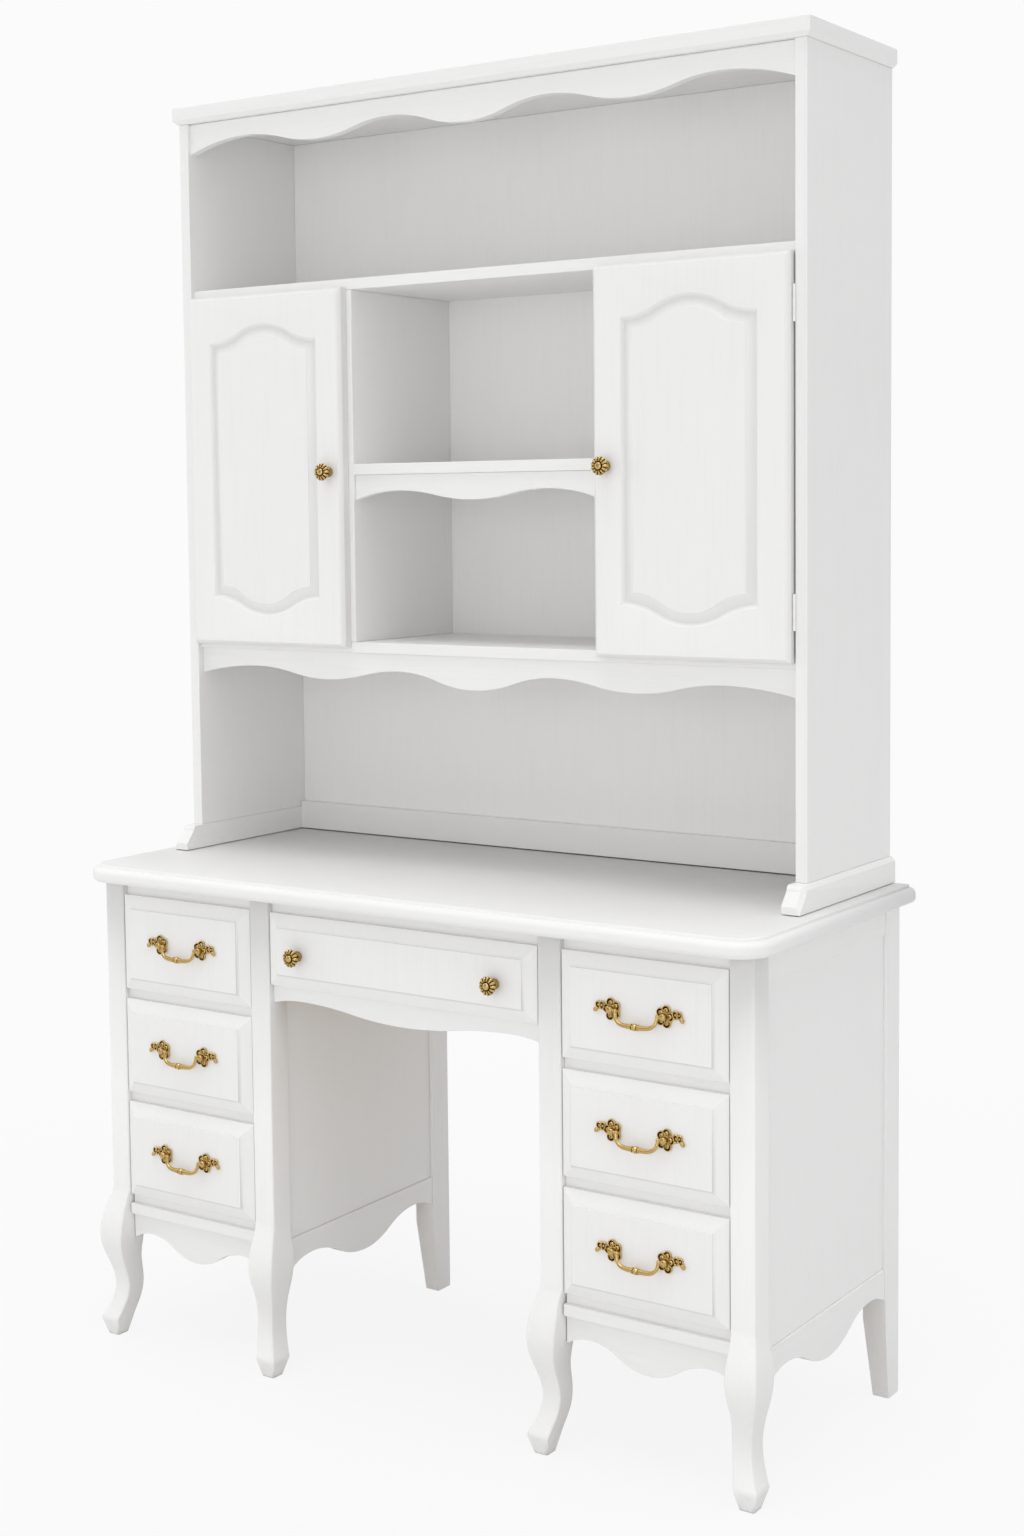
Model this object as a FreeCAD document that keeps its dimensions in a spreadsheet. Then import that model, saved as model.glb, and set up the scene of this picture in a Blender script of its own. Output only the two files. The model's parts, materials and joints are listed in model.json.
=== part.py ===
import FreeCAD
import Part
import Sketcher
import math
import os
import re

# A painted pedestal desk with a bookcase hutch standing on it.
# Millimetres. The origin is on the floor, under the middle of the desk top:
# +X is to the sitter's right, -Y is towards the sitter, +Z is up.
# Every piece hangs on the sizes below, through expressions on one sheet.

SIZES = (
    # Desk as a whole
    ("desk_width", 1200),
    ("desk_depth", 496),
    ("desk_height", 762),
    ("side_overhang", 22),
    ("front_overhang", 35),
    ("rear_overhang", 6),
    # Writing top, with a raised field inside a rounded lip
    ("top_thick", 27),
    ("top_corner", 52),
    ("top_lip", 10),
    ("top_step", 4),
    ("top_round", 9),
    ("field_round", 2),
    # Front legs: a square post that runs down into a cabriole leg
    # The side and front sizes say how far a section's faces stand beyond the faces of the post
    ("kneehole_width", 484),
    ("post_width", 37),
    ("post_depth", 42),
    ("arris_round", 3),
    ("knee_start", 236),
    ("shoulder_height", 192),
    ("shoulder_width", 45),
    ("shoulder_depth", 52),
    ("shoulder_side", 9.5),
    ("shoulder_front", 17),
    ("knee_height", 162),
    ("knee_width", 46),
    ("knee_depth", 55),
    ("knee_side", 11),
    ("knee_front", 21),
    ("calf_height", 122),
    ("calf_width", 34.5),
    ("calf_depth", 43),
    ("calf_side", 3.5),
    ("calf_front", 12),
    ("ankle_height", 84),
    ("ankle_width", 29.5),
    ("ankle_depth", 35.5),
    ("ankle_side", -4),
    ("ankle_front", 3.5),
    ("instep_height", 47),
    ("instep_width", 31.5),
    ("instep_depth", 37),
    ("instep_side", 3),
    ("instep_front", 11.5),
    ("toe_height", 27),
    ("toe_width", 36),
    ("toe_depth", 40),
    ("toe_side", 12.5),
    ("toe_front", 21),
    ("sole_width", 22),
    ("sole_depth", 23),
    ("sole_side", 4.5),
    ("sole_front", 12.5),
    # Rear legs: straight, tapered below the case
    ("rear_leg_depth", 45),
    ("rear_taper_height", 118),
    ("rear_foot_width", 26),
    ("rear_foot_depth", 34),
    # Front rails and the aprons under the drawers
    ("rail_recess", 10),
    ("rail_thick", 20),
    ("top_rail_height", 30),
    ("front_overlap", 5),
    ("base_gap", 16),
    ("strip_height", 17),
    ("strip_proud", 8),
    ("apron_end_run", 36),
    ("apron_end_drop", 42),
    ("apron_crest_drop", 30),
    ("apron_centre_drop", 60),
    ("knee_apron_end_run", 52),
    ("knee_apron_end_drop", 29),
    ("knee_apron_crest_drop", 22),
    ("knee_apron_centre_drop", 37),
    # Pedestal sides: a panel between a top rail and a shaped apron
    ("side_set_in", 2),
    ("side_board_thick", 18),
    ("side_rail_height", 41),
    ("panel_set_in", 5),
    ("panel_thick", 8),
    ("side_end_run", 52),
    ("side_end_drop", 48),
    ("side_crest_drop", 33.5),
    ("side_centre_drop", 69),
    # Backs of the desk
    ("desk_back_thick", 8),
    ("desk_back_set_in", 3),
    ("kneehole_rail_height", 100),
    ("kneehole_rail_thick", 18),
    # Drawer fronts: a slab, a wide bevel and a raised field
    ("top_reveal", 21),
    ("drawer_front_height", 150),
    ("centre_front_height", 110),
    ("drawer_spacing", 16),
    ("front_gap", 1.5),
    ("front_clear", 0.5),
    ("front_edge", 7),
    ("bevel_width", 20),
    ("bevel_depth", 9),
    ("field_step", 2),
    # Drawer boxes and the runners that carry them
    ("box_gap", 6),
    ("box_wall", 12),
    ("box_floor", 5),
    ("box_floor_lift", 8),
    ("box_height", 112),
    ("centre_box_height", 72),
    ("box_rear_gap", 40),
    ("runner_thick", 12),
    ("runner_clear", 0.3),
    ("guide_height", 22),
    ("guide_clear", 1.5),
    # Bail pulls of the pedestal drawers
    ("pull_span", 82),
    ("pull_rise", 5),
    ("pull_reach", 8),
    ("plate_thick", 3),
    ("petal_circle", 12.8),
    ("petal_round", 6),
    ("leaf_reach", 30),
    ("leaf_round", 15),
    ("pull_post", 10.5),
    ("pull_cap", 4.2),
    ("cap_round", 3),
    ("wire", 5.8),
    ("pin_clear", 0.4),
    ("pin_reach", 2),
    ("bail_clear", 0.5),
    ("bail_round", 3.5),
    ("bail_corner", 14),
    ("bail_drop", 18),
    ("bail_lean", 13),
    ("bead_length", 10.5),
    ("bead_height", 4.4),
    # Round knobs
    ("knob_dia", 30),
    ("knob_length", 26),
    ("knob_dome", 6),
    ("knob_rim", 3),
    ("knob_neck", 9),
    ("knob_neck_end", 13),
    ("knob_foot", 18),
    ("knob_foot_thick", 3),
    ("knob_flare", 3),
    ("knob_span", 354),
    ("knob_drop", 3),
    # Hutch as a whole
    ("overall_height", 1962),
    ("hutch_width", 1120),
    ("hutch_depth", 272),
    ("hutch_side", 18),
    ("crown_thick", 26),
    ("crown_overhang", 8),
    ("crown_bevel", 6),
    # Feet of the hutch and the strip between them
    ("foot_height", 39),
    ("foot_out", 8),
    ("foot_in", 2),
    ("foot_reach", 39),
    ("foot_slope", 16),
    ("foot_toe", 12),
    ("foot_round", 8),
    ("foot_bevel", 6),
    ("back_strip_height", 48),
    ("back_strip_thick", 12),
    ("hutch_back_thick", 5),
    ("hutch_back_set_in", 2),
    # Shelves, dividers and the wavy valances under them
    ("shelf_thick", 17),
    ("shelf_set_in", 6),
    ("desk_space", 331),
    ("top_space", 266),
    ("middle_shelf_drop", 4),
    ("open_bay", 438),
    ("divider_thick", 18),
    ("valance_thick", 15),
    ("valance_set_in", 5),
    ("valance_end_run", 118),
    ("top_end_drop", 49),
    ("top_crest_drop", 28),
    ("top_dip_drop", 48),
    ("top_centre_drop", 52),
    ("lower_end_drop", 41),
    ("lower_crest_drop", 27),
    ("lower_dip_drop", 44),
    ("lower_centre_drop", 51),
    ("middle_end_run", 83),
    ("middle_end_drop", 39),
    ("middle_crest_drop", 25),
    ("middle_centre_drop", 40),
    # Doors: one routed slab with an arched, raised panel
    ("door_thick", 19),
    ("door_clear", 0.5),
    ("door_gap", 2.6),
    ("door_reveal", 9),
    ("door_top_lap", 4),
    ("door_bottom_lap", 9),
    ("door_bevel", 6),
    ("stile", 47),
    ("door_rail", 75),
    ("arch_rise", 28),
    ("panel_sink", 6),
    ("panel_cove", 5),
    ("groove", 6),
    ("panel_bevel", 19),
    ("panel_low", 0.8),
    ("panel_step", 1),
    ("door_knob_drop", 5),
    # Butt hinges of the doors
    ("hinge_height", 50),
    ("hinge_inset", 70),
    ("leaf_thick", 1),
    ("leaf_width", 20),
    ("knuckle", 4.2),
    ("knuckle_gap", 0.6),
    ("hinge_pin", 2),
    ("hinge_fit", 0.3),
)

doc = FreeCAD.newDocument("DeskWithHutch")
sheet = doc.addObject("Spreadsheet::Sheet", "Sizes")
for row, (name, size) in enumerate(SIZES, 1):
    sheet.set(f"A{row}", name)
    sheet.set(f"B{row}", str(size))
    sheet.setAlias(f"B{row}", name)
doc.recompute()

ALIAS = re.compile(r"\b(" + "|".join(name for name, size in SIZES) + r")\b")
nodes = []


def bound(text):
    """Write an expression on the sheet's names so that any object can hold it."""
    return ALIAS.sub(r"Sizes.\1", text)


def value(text):
    """Work out an expression on the sheet's names."""
    return float(sheet.evalExpression(text))


def place(piece, x, y, z):
    for axis, text in zip("xyz", (x, y, z)):
        piece.setExpression(f"Placement.Base.{axis}", bound(text))


def box(label, size, corner):
    """A plain board: its size along X, Y and Z, and its lowest corner."""
    board = doc.addObject("Part::Box", label)
    for side, text in zip(("Length", "Width", "Height"), size):
        board.setExpression(side, bound(text))
    place(board, *corner)
    return board


def group(label, pieces):
    """Several alike pieces that share one node."""
    together = doc.addObject("Part::Compound", label)
    together.Links = pieces
    nodes.append(together)


def alone(piece):
    nodes.append(piece)


def new_body(label):
    return doc.addObject("PartDesign::Body", label)


def new_sketch(body, role, name, offset="0"):
    """A sketch on one of the body's own planes, moved along the plane's normal."""
    sketch = body.newObject("Sketcher::SketchObject", name)
    support = next(f for f in body.Origin.OriginFeatures if f.Role == role)
    sketch.AttachmentSupport = [(support, "")]
    sketch.MapMode = "FlatFace"
    sketch.setExpression("AttachmentOffset.Base.z", bound(offset))
    return sketch


def arc_between(start, stop, turn, radius):
    """The short arc from start to stop, turning left or right."""
    chord = stop - start
    half = chord.Length / 2
    left = FreeCAD.Vector(-chord.y, chord.x, 0).normalize()
    inward = left if turn == "left" else -left
    centre = (start + stop) / 2 + inward * math.sqrt(radius ** 2 - half ** 2)
    first, last = (start, stop) if turn == "left" else (stop, start)
    begin = math.atan2(first.y - centre.y, first.x - centre.x)
    end = math.atan2(last.y - centre.y, last.x - centre.x)
    if end < begin:
        end += 2 * math.pi
    circle = Part.Circle(centre, FreeCAD.Vector(0, 0, 1), radius)
    return Part.ArcOfCircle(circle, begin, end)


def outline(sketch, corners, closed=True):
    """Draw a run of corners, each (x, y) or, where an arc starts, (x, y, turn, radius)."""
    spots = [FreeCAD.Vector(value(corner[0]), value(corner[1]), 0) for corner in corners]
    runs = len(corners) if closed else len(corners) - 1
    ends = []
    rules = []
    texts = []
    for index in range(runs):
        start = spots[index]
        stop = spots[(index + 1) % len(spots)]
        bend = corners[index][2:]
        if bend:
            turn, radius = bend
            sketch.addGeometry(arc_between(start, stop, turn, value(radius)))
            ends.append((1, 2) if turn == "left" else (2, 1))
            rules.append(Sketcher.Constraint("Radius", index, value(radius)))
            texts.append(radius)
        else:
            sketch.addGeometry(Part.LineSegment(start, stop))
            ends.append((1, 2))
        rules.append(Sketcher.Constraint("DistanceX", index, ends[index][0], start.x))
        rules.append(Sketcher.Constraint("DistanceY", index, ends[index][0], start.y))
        texts += corners[index][:2]
    if not closed:
        rules.append(Sketcher.Constraint("DistanceX", runs - 1, ends[-1][1], spots[-1].x))
        rules.append(Sketcher.Constraint("DistanceY", runs - 1, ends[-1][1], spots[-1].y))
        texts += corners[-1][:2]
    joins = runs if closed else runs - 1
    for index in range(joins):
        after = (index + 1) % runs
        rules.append(Sketcher.Constraint("Coincident", index, ends[index][1], after, ends[after][0]))
    sketch.addConstraint(rules)
    for index, text in enumerate(texts):
        sketch.setExpression(f"Constraints[{index}]", bound(text))


def circle(sketch, x, y, radius):
    centre = FreeCAD.Vector(value(x), value(y), 0)
    sketch.addGeometry(Part.Circle(centre, FreeCAD.Vector(0, 0, 1), value(radius)))
    rules = [
        Sketcher.Constraint("Radius", 0, value(radius)),
        Sketcher.Constraint("DistanceX", 0, 3, centre.x),
        Sketcher.Constraint("DistanceY", 0, 3, centre.y),
    ]
    sketch.addConstraint(rules)
    for index, text in enumerate((radius, x, y)):
        sketch.setExpression(f"Constraints[{index}]", bound(text))


def rectangle(sketch, x, y, wide, high):
    """A rectangle about a centre."""
    low_x, high_x = f"{x} - ({wide}) / 2", f"{x} + ({wide}) / 2"
    low_y, high_y = f"{y} - ({high}) / 2", f"{y} + ({high}) / 2"
    outline(sketch, [(low_x, low_y), (high_x, low_y), (high_x, high_y), (low_x, high_y)])


def rounded_rectangle(sketch, x, y, wide, high, radius):
    """A rectangle about a centre, with its corners rounded."""
    low_x, high_x = f"{x} - ({wide}) / 2", f"{x} + ({wide}) / 2"
    low_y, high_y = f"{y} - ({high}) / 2", f"{y} + ({high}) / 2"
    outline(sketch, [
        (f"{low_x} + {radius}", low_y),
        (f"{high_x} - {radius}", low_y, "left", radius),
        (high_x, f"{low_y} + {radius}"),
        (high_x, f"{high_y} - {radius}", "left", radius),
        (f"{high_x} - {radius}", high_y),
        (f"{low_x} + {radius}", high_y, "left", radius),
        (low_x, f"{high_y} - {radius}"),
        (low_x, f"{low_y} + {radius}", "left", radius),
    ])


def pad(body, sketch, length):
    feature = body.newObject("PartDesign::Pad", f"{body.Name}_pad")
    feature.Profile = sketch
    feature.setExpression("Length", bound(length))
    return feature


def loft(body, sketches, ruled):
    feature = body.newObject("PartDesign::AdditiveLoft", f"{body.Name}_loft")
    feature.Profile = sketches[0]
    feature.Sections = sketches[1:]
    feature.Ruled = ruled
    return feature


def revolve(body, sketch, axis):
    feature = body.newObject("PartDesign::Revolution", f"{body.Name}_turning")
    feature.Profile = sketch
    feature.ReferenceAxis = (sketch, [axis])
    feature.Angle = 360
    return feature


def dress_edges(body, kind, base, size, wanted):
    """Fillet or chamfer the edges of the base feature that a test picks."""
    doc.recompute()
    names = [f"Edge{n}" for n, edge in enumerate(base.Shape.Edges, 1) if wanted(edge.BoundBox)]
    feature = body.newObject(f"PartDesign::{kind}", f"{body.Name}_{kind.lower()}")
    feature.Base = (base, names)
    feature.setExpression("Radius" if kind == "Fillet" else "Size", bound(size))
    return feature


def near(first, second):
    return abs(first - second) < 0.01


def s_curve(start_x, start_drop, stop_x, stop_drop, top, falling):
    """Two equal arcs from a crest to a dip, or back, level at both ends."""
    run = f"((({stop_x}) - ({start_x})) / 2)"
    fall = f"(abs(({stop_drop}) - ({start_drop})) / 2)"
    radius = f"({run} ^ 2 + {fall} ^ 2) / (2 * {fall})"
    turns = ("right", "left") if falling else ("left", "right")
    middle_x = f"(({start_x}) + ({stop_x})) / 2"
    middle_y = f"{top} - (({start_drop}) + ({stop_drop})) / 2"
    return [
        (start_x, f"{top} - ({start_drop})", turns[0], radius),
        (middle_x, middle_y, turns[1], radius),
    ]


def wavy_outline(sketch, centre, span, top, end_run, end_drop, drops):
    """A board with a straight top and a wavy lower edge, crest first, of evenly spaced turns."""
    first = f"({centre} - ({span}) / 2)"
    last = f"({centre} + ({span}) / 2)"
    step = f"((({span}) - 2 * {end_run}) / {len(drops) - 1})"
    stations = [f"({first} + {end_run} + {n} * {step})" for n in range(len(drops))]
    rise = f"({end_drop} - {drops[0]})"
    end_radius = f"({end_run} ^ 2 + {rise} ^ 2) / (2 * {rise})"
    corners = [(first, f"{top} - {end_drop}", "right", end_radius)]
    for n in range(len(drops) - 1):
        corners += s_curve(stations[n], drops[n], stations[n + 1], drops[n + 1], top, n % 2 == 0)
    corners += [
        (stations[-1], f"{top} - {drops[-1]}", "right", end_radius),
        (last, f"{top} - {end_drop}"),
        (last, top),
        (first, top),
    ]
    outline(sketch, corners)


def wavy_board(label, front, thick, centre, span, top, end_run, end_drop, drops):
    """A wavy board that faces the sitter."""
    board = new_body(label)
    sketch = new_sketch(board, "XZ_Plane", f"{label}_outline", f"-({front}) - {thick}")
    wavy_outline(sketch, centre, span, top, end_run, end_drop, drops)
    pad(board, sketch, thick)
    return board


def mirrored(sign, low, length):
    """Lowest X of a piece on the right, or of its mirror image on the left."""
    return low if sign > 0 else f"-({low}) - ({length})"


# Places that several pieces share
UNDERSIDE = "(desk_height - top_thick)"
POST_OUT = "(desk_width / 2 - side_overhang)"
POST_FRONT = "(front_overhang - desk_depth / 2)"
POST_BACK = f"({POST_FRONT} + post_depth)"
REAR = "(desk_depth / 2)"
REAR_LEG_BACK = f"({REAR} - rear_overhang)"
REAR_LEG_FRONT = f"({REAR_LEG_BACK} - rear_leg_depth)"
SIDE_RUN = f"({REAR_LEG_FRONT} - {POST_BACK})"
SIDE_MIDDLE = f"(({REAR_LEG_FRONT} + {POST_BACK}) / 2)"
BAY = f"({POST_OUT} - kneehole_width / 2 - 2 * post_width)"
BAY_CENTRE = f"(({POST_OUT} + kneehole_width / 2) / 2)"
RAIL_FRONT = f"({POST_FRONT} + rail_recess)"
FRONT_BACK = f"({RAIL_FRONT} - front_clear)"
FIELD_FACE = f"({FRONT_BACK} - front_edge - bevel_depth - field_step)"
BOX_DEPTH = f"({REAR_LEG_FRONT} - {FRONT_BACK} - box_rear_gap)"
HUTCH_FRONT = f"({REAR} - hutch_depth)"
HUTCH_INNER = "(hutch_width / 2 - hutch_side)"
HUTCH_CEILING = "(overall_height - crown_thick)"
HUTCH_BACK = f"({REAR} - hutch_back_set_in - hutch_back_thick)"
SHELF_FRONT = f"({HUTCH_FRONT} + shelf_set_in)"
SHELF_DEPTH = f"({HUTCH_BACK} - {SHELF_FRONT})"
LOWER_SHELF = "(desk_height + desk_space)"
UPPER_SHELF = f"({HUTCH_CEILING} - top_space - shelf_thick)"
MIDDLE_SHELF = f"(({UPPER_SHELF} + {LOWER_SHELF}) / 2 - middle_shelf_drop)"
DOOR_BACK = f"({SHELF_FRONT} - door_clear)"
SIDES = (("left", -1), ("right", 1))
LEVELS = ("top", "middle", "bottom")
# The four long faces of the pedestals: name, plane, and the way the face looks along X
FACES = (
    ("left_outer", f"-{POST_OUT}", -1),
    ("left_inner", "-kneehole_width / 2", 1),
    ("right_inner", "kneehole_width / 2", -1),
    ("right_outer", POST_OUT, 1),
)


def front_bottom(level):
    """Lower edge of a pedestal drawer's front; level 0 is the top drawer."""
    fronts = f"{level + 1} * drawer_front_height"
    return f"({UNDERSIDE} - top_reveal - {fronts} - {level} * drawer_spacing)"


CENTRE_BOTTOM = f"({UNDERSIDE} - top_reveal - centre_front_height)"
STRIP_BOTTOM = f"({front_bottom(len(LEVELS) - 1)} - base_gap - strip_height)"


def desk_top():
    """The writing top: a rounded slab that carries a slightly raised field."""
    top = new_body("desk_top")

    def plan(sketch, inset):
        half, front, back = f"(desk_width / 2 - {inset})", f"({inset} - desk_depth / 2)", REAR
        radius = f"(top_corner - {inset})"
        outline(sketch, [
            (f"-{half}", back),
            (f"-{half}", f"{front} + {radius}", "left", radius),
            (f"{radius} - {half}", front),
            (f"{half} - {radius}", front, "left", radius),
            (half, f"{front} + {radius}"),
            (half, back),
        ])

    slab_plan = new_sketch(top, "XY_Plane", "slab_plan", UNDERSIDE)
    plan(slab_plan, "0")
    pad(top, slab_plan, "top_thick - top_step")
    field_plan = new_sketch(top, "XY_Plane", "field_plan", "desk_height - top_step")
    plan(field_plan, "top_lip")
    field = pad(top, field_plan, "top_step")
    low, lip, high = value(UNDERSIDE), value("desk_height - top_step"), value("desk_height")
    rear, half = value(REAR), value("desk_width / 2")

    def slab_edge(bounds):
        level = near(bounds.ZMin, bounds.ZMax) and (near(bounds.ZMin, low) or near(bounds.ZMin, lip))
        outside = near(abs(bounds.XMin), half) or near(abs(bounds.XMax), half) or near(bounds.YMin, -rear)
        return level and outside and not near(bounds.YMin, rear)

    def field_edge(bounds):
        return near(bounds.ZMin, high) and not near(bounds.YMin, rear)

    rounded = dress_edges(top, "Fillet", field, "top_round", slab_edge)
    dress_edges(top, "Fillet", rounded, "field_round", field_edge)
    alone(top)


def front_leg(label, face, out):
    """A post whose foot swells into a knee, draws in at the ankle and kicks out to a toe."""
    leg = new_body(label)

    def section(height, wide, deep, side, front):
        cut = new_sketch(leg, "XY_Plane", f"{label}_section", height)
        x = f"({out} * (post_width / 2 + {side} - {wide} / 2))"
        y = f"({deep} / 2 - post_depth / 2 - {front})"
        rounded_rectangle(cut, x, y, wide, deep, "arris_round")
        return cut

    def bend(name, height):
        return section(height, f"{name}_width", f"{name}_depth", f"{name}_side", f"{name}_front")

    def post_section():
        return section("knee_start", "post_width", "post_depth", "0", "0")

    pad(leg, post_section(), f"{UNDERSIDE} - knee_start")
    bends = [bend(name, f"{name}_height") for name in ("shoulder", "knee", "calf", "ankle", "instep", "toe")]
    loft(leg, [post_section()] + bends, ruled=False)
    loft(leg, [bend("toe", "toe_height"), bend("sole", "0")], ruled=True)
    place(leg, f"{face} - {out} * post_width / 2", f"{POST_FRONT} + post_depth / 2", "0")
    alone(leg)


def rear_leg(label, face, out):
    """A straight leg, tapered on its front and on the side inside the pedestal."""
    leg = new_body(label)

    def section(height, wide, deep):
        cut = new_sketch(leg, "XY_Plane", f"{label}_section", height)
        rectangle(cut, f"(-{out} * {wide} / 2)", f"(-{deep} / 2)", wide, deep)
        return cut

    def full_section():
        return section("rear_taper_height", "post_width", "rear_leg_depth")

    pad(leg, full_section(), f"{UNDERSIDE} - rear_taper_height")
    loft(leg, [full_section(), section("0", "rear_foot_width", "rear_foot_depth")], ruled=True)
    place(leg, face, REAR_LEG_BACK, "0")
    return leg


def board_low(face, out, set_in, thick):
    """Lowest X of a board set in behind a pedestal face."""
    return f"{face} - {set_in} - {thick}" if out > 0 else f"{face} + {set_in}"


def pedestal_sides():
    panels, rails, aprons = [], [], []
    for name, face, out in FACES:
        panel_x = board_low(face, out, "panel_set_in", "panel_thick")
        panel_height = f"{UNDERSIDE} - side_rail_height - {STRIP_BOTTOM}"
        panel_size = ("panel_thick", SIDE_RUN, panel_height)
        panels.append(box(f"{name}_panel", panel_size, (panel_x, POST_BACK, STRIP_BOTTOM)))
        board_x = board_low(face, out, "side_set_in", "side_board_thick")
        rail_size = ("side_board_thick", SIDE_RUN, "side_rail_height")
        rail_corner = (board_x, POST_BACK, f"{UNDERSIDE} - side_rail_height")
        rails.append(box(f"{name}_rail", rail_size, rail_corner))
        apron = new_body(f"{name}_apron")
        sketch = new_sketch(apron, "YZ_Plane", f"{name}_apron_outline", board_x)
        drops = ("side_crest_drop", "side_centre_drop", "side_crest_drop")
        wavy_outline(sketch, SIDE_MIDDLE, SIDE_RUN, STRIP_BOTTOM, "side_end_run", "side_end_drop", drops)
        pad(apron, sketch, "side_board_thick")
        aprons.append(apron)
    group("side_panels", panels)
    group("side_rails", rails)
    group("side_aprons", aprons)


def front_rails():
    """Rails above and between the drawers, behind the plane of the posts."""
    rails = []
    rail_top = f"{UNDERSIDE} - top_rail_height"
    for side, sign in SIDES:
        low_x = mirrored(sign, f"{BAY_CENTRE} - {BAY} / 2", BAY)
        top_size = (BAY, "rail_thick", "top_rail_height")
        rails.append(box(f"{side}_top_rail", top_size, (low_x, RAIL_FRONT, rail_top)))
        for level in range(len(LEVELS) - 1):
            size = (BAY, "rail_thick", "drawer_spacing + 2 * front_overlap")
            low_z = f"{front_bottom(level)} - drawer_spacing - front_overlap"
            rails.append(box(f"{side}_rail_{level + 1}", size, (low_x, RAIL_FRONT, low_z)))
    size = ("kneehole_width", "rail_thick", "top_rail_height")
    rails.append(box("kneehole_top_rail", size, ("-kneehole_width / 2", RAIL_FRONT, rail_top)))
    group("drawer_rails", rails)


def front_aprons():
    """The shaped board under each stack of drawers, its moulding strip, and the kneehole's own apron."""
    aprons, strips = [], []
    lowest = front_bottom(len(LEVELS) - 1)
    drop_base = f"({lowest} + front_overlap - {STRIP_BOTTOM})"
    drops = [f"({drop_base} + apron_{turn}_drop)" for turn in ("crest", "centre", "crest")]
    for side, sign in SIDES:
        centre = f"({sign} * {BAY_CENTRE})"
        aprons.append(wavy_board(
            f"{side}_front_apron", RAIL_FRONT, "rail_thick", centre, BAY, f"({lowest} + front_overlap)",
            "apron_end_run", f"({drop_base} + apron_end_drop)", drops))
        low_x = mirrored(sign, f"{BAY_CENTRE} - {BAY} / 2", BAY)
        strip_size = (BAY, "strip_proud", "strip_height")
        strips.append(box(f"{side}_strip", strip_size, (low_x, f"{RAIL_FRONT} - strip_proud", STRIP_BOTTOM)))
    group("front_aprons", aprons)
    group("base_strips", strips)
    knee_drops = [f"(front_overlap + knee_apron_{turn}_drop)" for turn in ("crest", "centre", "crest")]
    alone(wavy_board(
        "kneehole_apron", RAIL_FRONT, "rail_thick", "0", "kneehole_width",
        f"({CENTRE_BOTTOM} + front_overlap)", "knee_apron_end_run",
        "(front_overlap + knee_apron_end_drop)", knee_drops))


def desk_backs():
    """Thin backs of the pedestals and the rail that ties them across the kneehole."""
    back_y = f"{REAR_LEG_BACK} - desk_back_set_in - desk_back_thick"
    pieces = []
    for side, sign in SIDES:
        low_x = mirrored(sign, f"{BAY_CENTRE} - {BAY} / 2", BAY)
        size = (BAY, "desk_back_thick", f"{UNDERSIDE} - {STRIP_BOTTOM}")
        pieces.append(box(f"{side}_pedestal_back", size, (low_x, back_y, STRIP_BOTTOM)))
    rail_size = ("kneehole_width", "kneehole_rail_thick", "kneehole_rail_height")
    rail_y = f"{REAR_LEG_BACK} - desk_back_set_in - kneehole_rail_thick"
    rail_z = f"{UNDERSIDE} - kneehole_rail_height"
    pieces.append(box("kneehole_rail", rail_size, ("-kneehole_width / 2", rail_y, rail_z)))
    group("desk_backs", pieces)


def runner(label, wall, inward, bearing, guide, top):
    """A ledge on a pedestal wall with a raised guide; inward is the way the ledge looks along X."""
    ledge = new_body(label)
    sketch = new_sketch(ledge, "XZ_Plane", f"{label}_outline", f"-{REAR_LEG_FRONT}")
    ledge_x = f"({wall} + {inward} * {bearing})"
    guide_x = f"({wall} + {inward} * {guide})"
    corners = [
        (wall, f"{top} - runner_thick"),
        (ledge_x, f"{top} - runner_thick"),
        (ledge_x, top),
        (guide_x, top),
        (guide_x, f"{top} + guide_height"),
        (wall, f"{top} + guide_height"),
    ]
    outline(sketch, corners)
    pad(ledge, sketch, SIDE_RUN)
    return ledge


def drawer_runners():
    runners = []
    box_half = f"({BAY} / 2 - box_gap)"
    for name, face, out in FACES:
        wall = f"({face} - {out} * (panel_set_in + panel_thick))"
        reach = f"(post_width - panel_set_in - panel_thick + {BAY} / 2)"
        for level, level_name in enumerate(LEVELS):
            bearing = f"({reach} - {box_half} + box_wall)"
            guide = f"({reach} - {box_half} - guide_clear)"
            top = f"({front_bottom(level)} + front_overlap)"
            runners.append(runner(f"{name}_{level_name}_runner", wall, -out, bearing, guide, top))
    for side, sign in SIDES:
        wall = f"({sign} * (kneehole_width / 2 + panel_set_in))"
        bearing = "(panel_set_in + box_gap + box_wall)"
        guide = "(panel_set_in + box_gap - guide_clear)"
        top = f"({CENTRE_BOTTOM} + front_overlap)"
        runners.append(runner(f"{side}_centre_runner", wall, -sign, bearing, guide, top))
    group("drawer_runners", runners)


def drawer_front(label, wide, high, x, bottom):
    """A slab with a wide bevel all round that climbs to a raised field."""
    front = new_body(label)

    def panel(depth, inset):
        sketch = new_sketch(front, "XZ_Plane", f"{label}_outline", depth)
        rectangle(sketch, "0", "0", f"{wide} - 2 * {inset}", f"{high} - 2 * {inset}")
        return sketch

    pad(front, panel("0", "0"), "front_edge")
    bevel_top = "front_edge + bevel_depth"
    loft(front, [panel("front_edge", "0"), panel(bevel_top, "bevel_width")], ruled=True)
    pad(front, panel(bevel_top, "bevel_width"), "field_step")
    place(front, x, FRONT_BACK, f"{bottom} + {high} / 2")
    alone(front)


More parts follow.
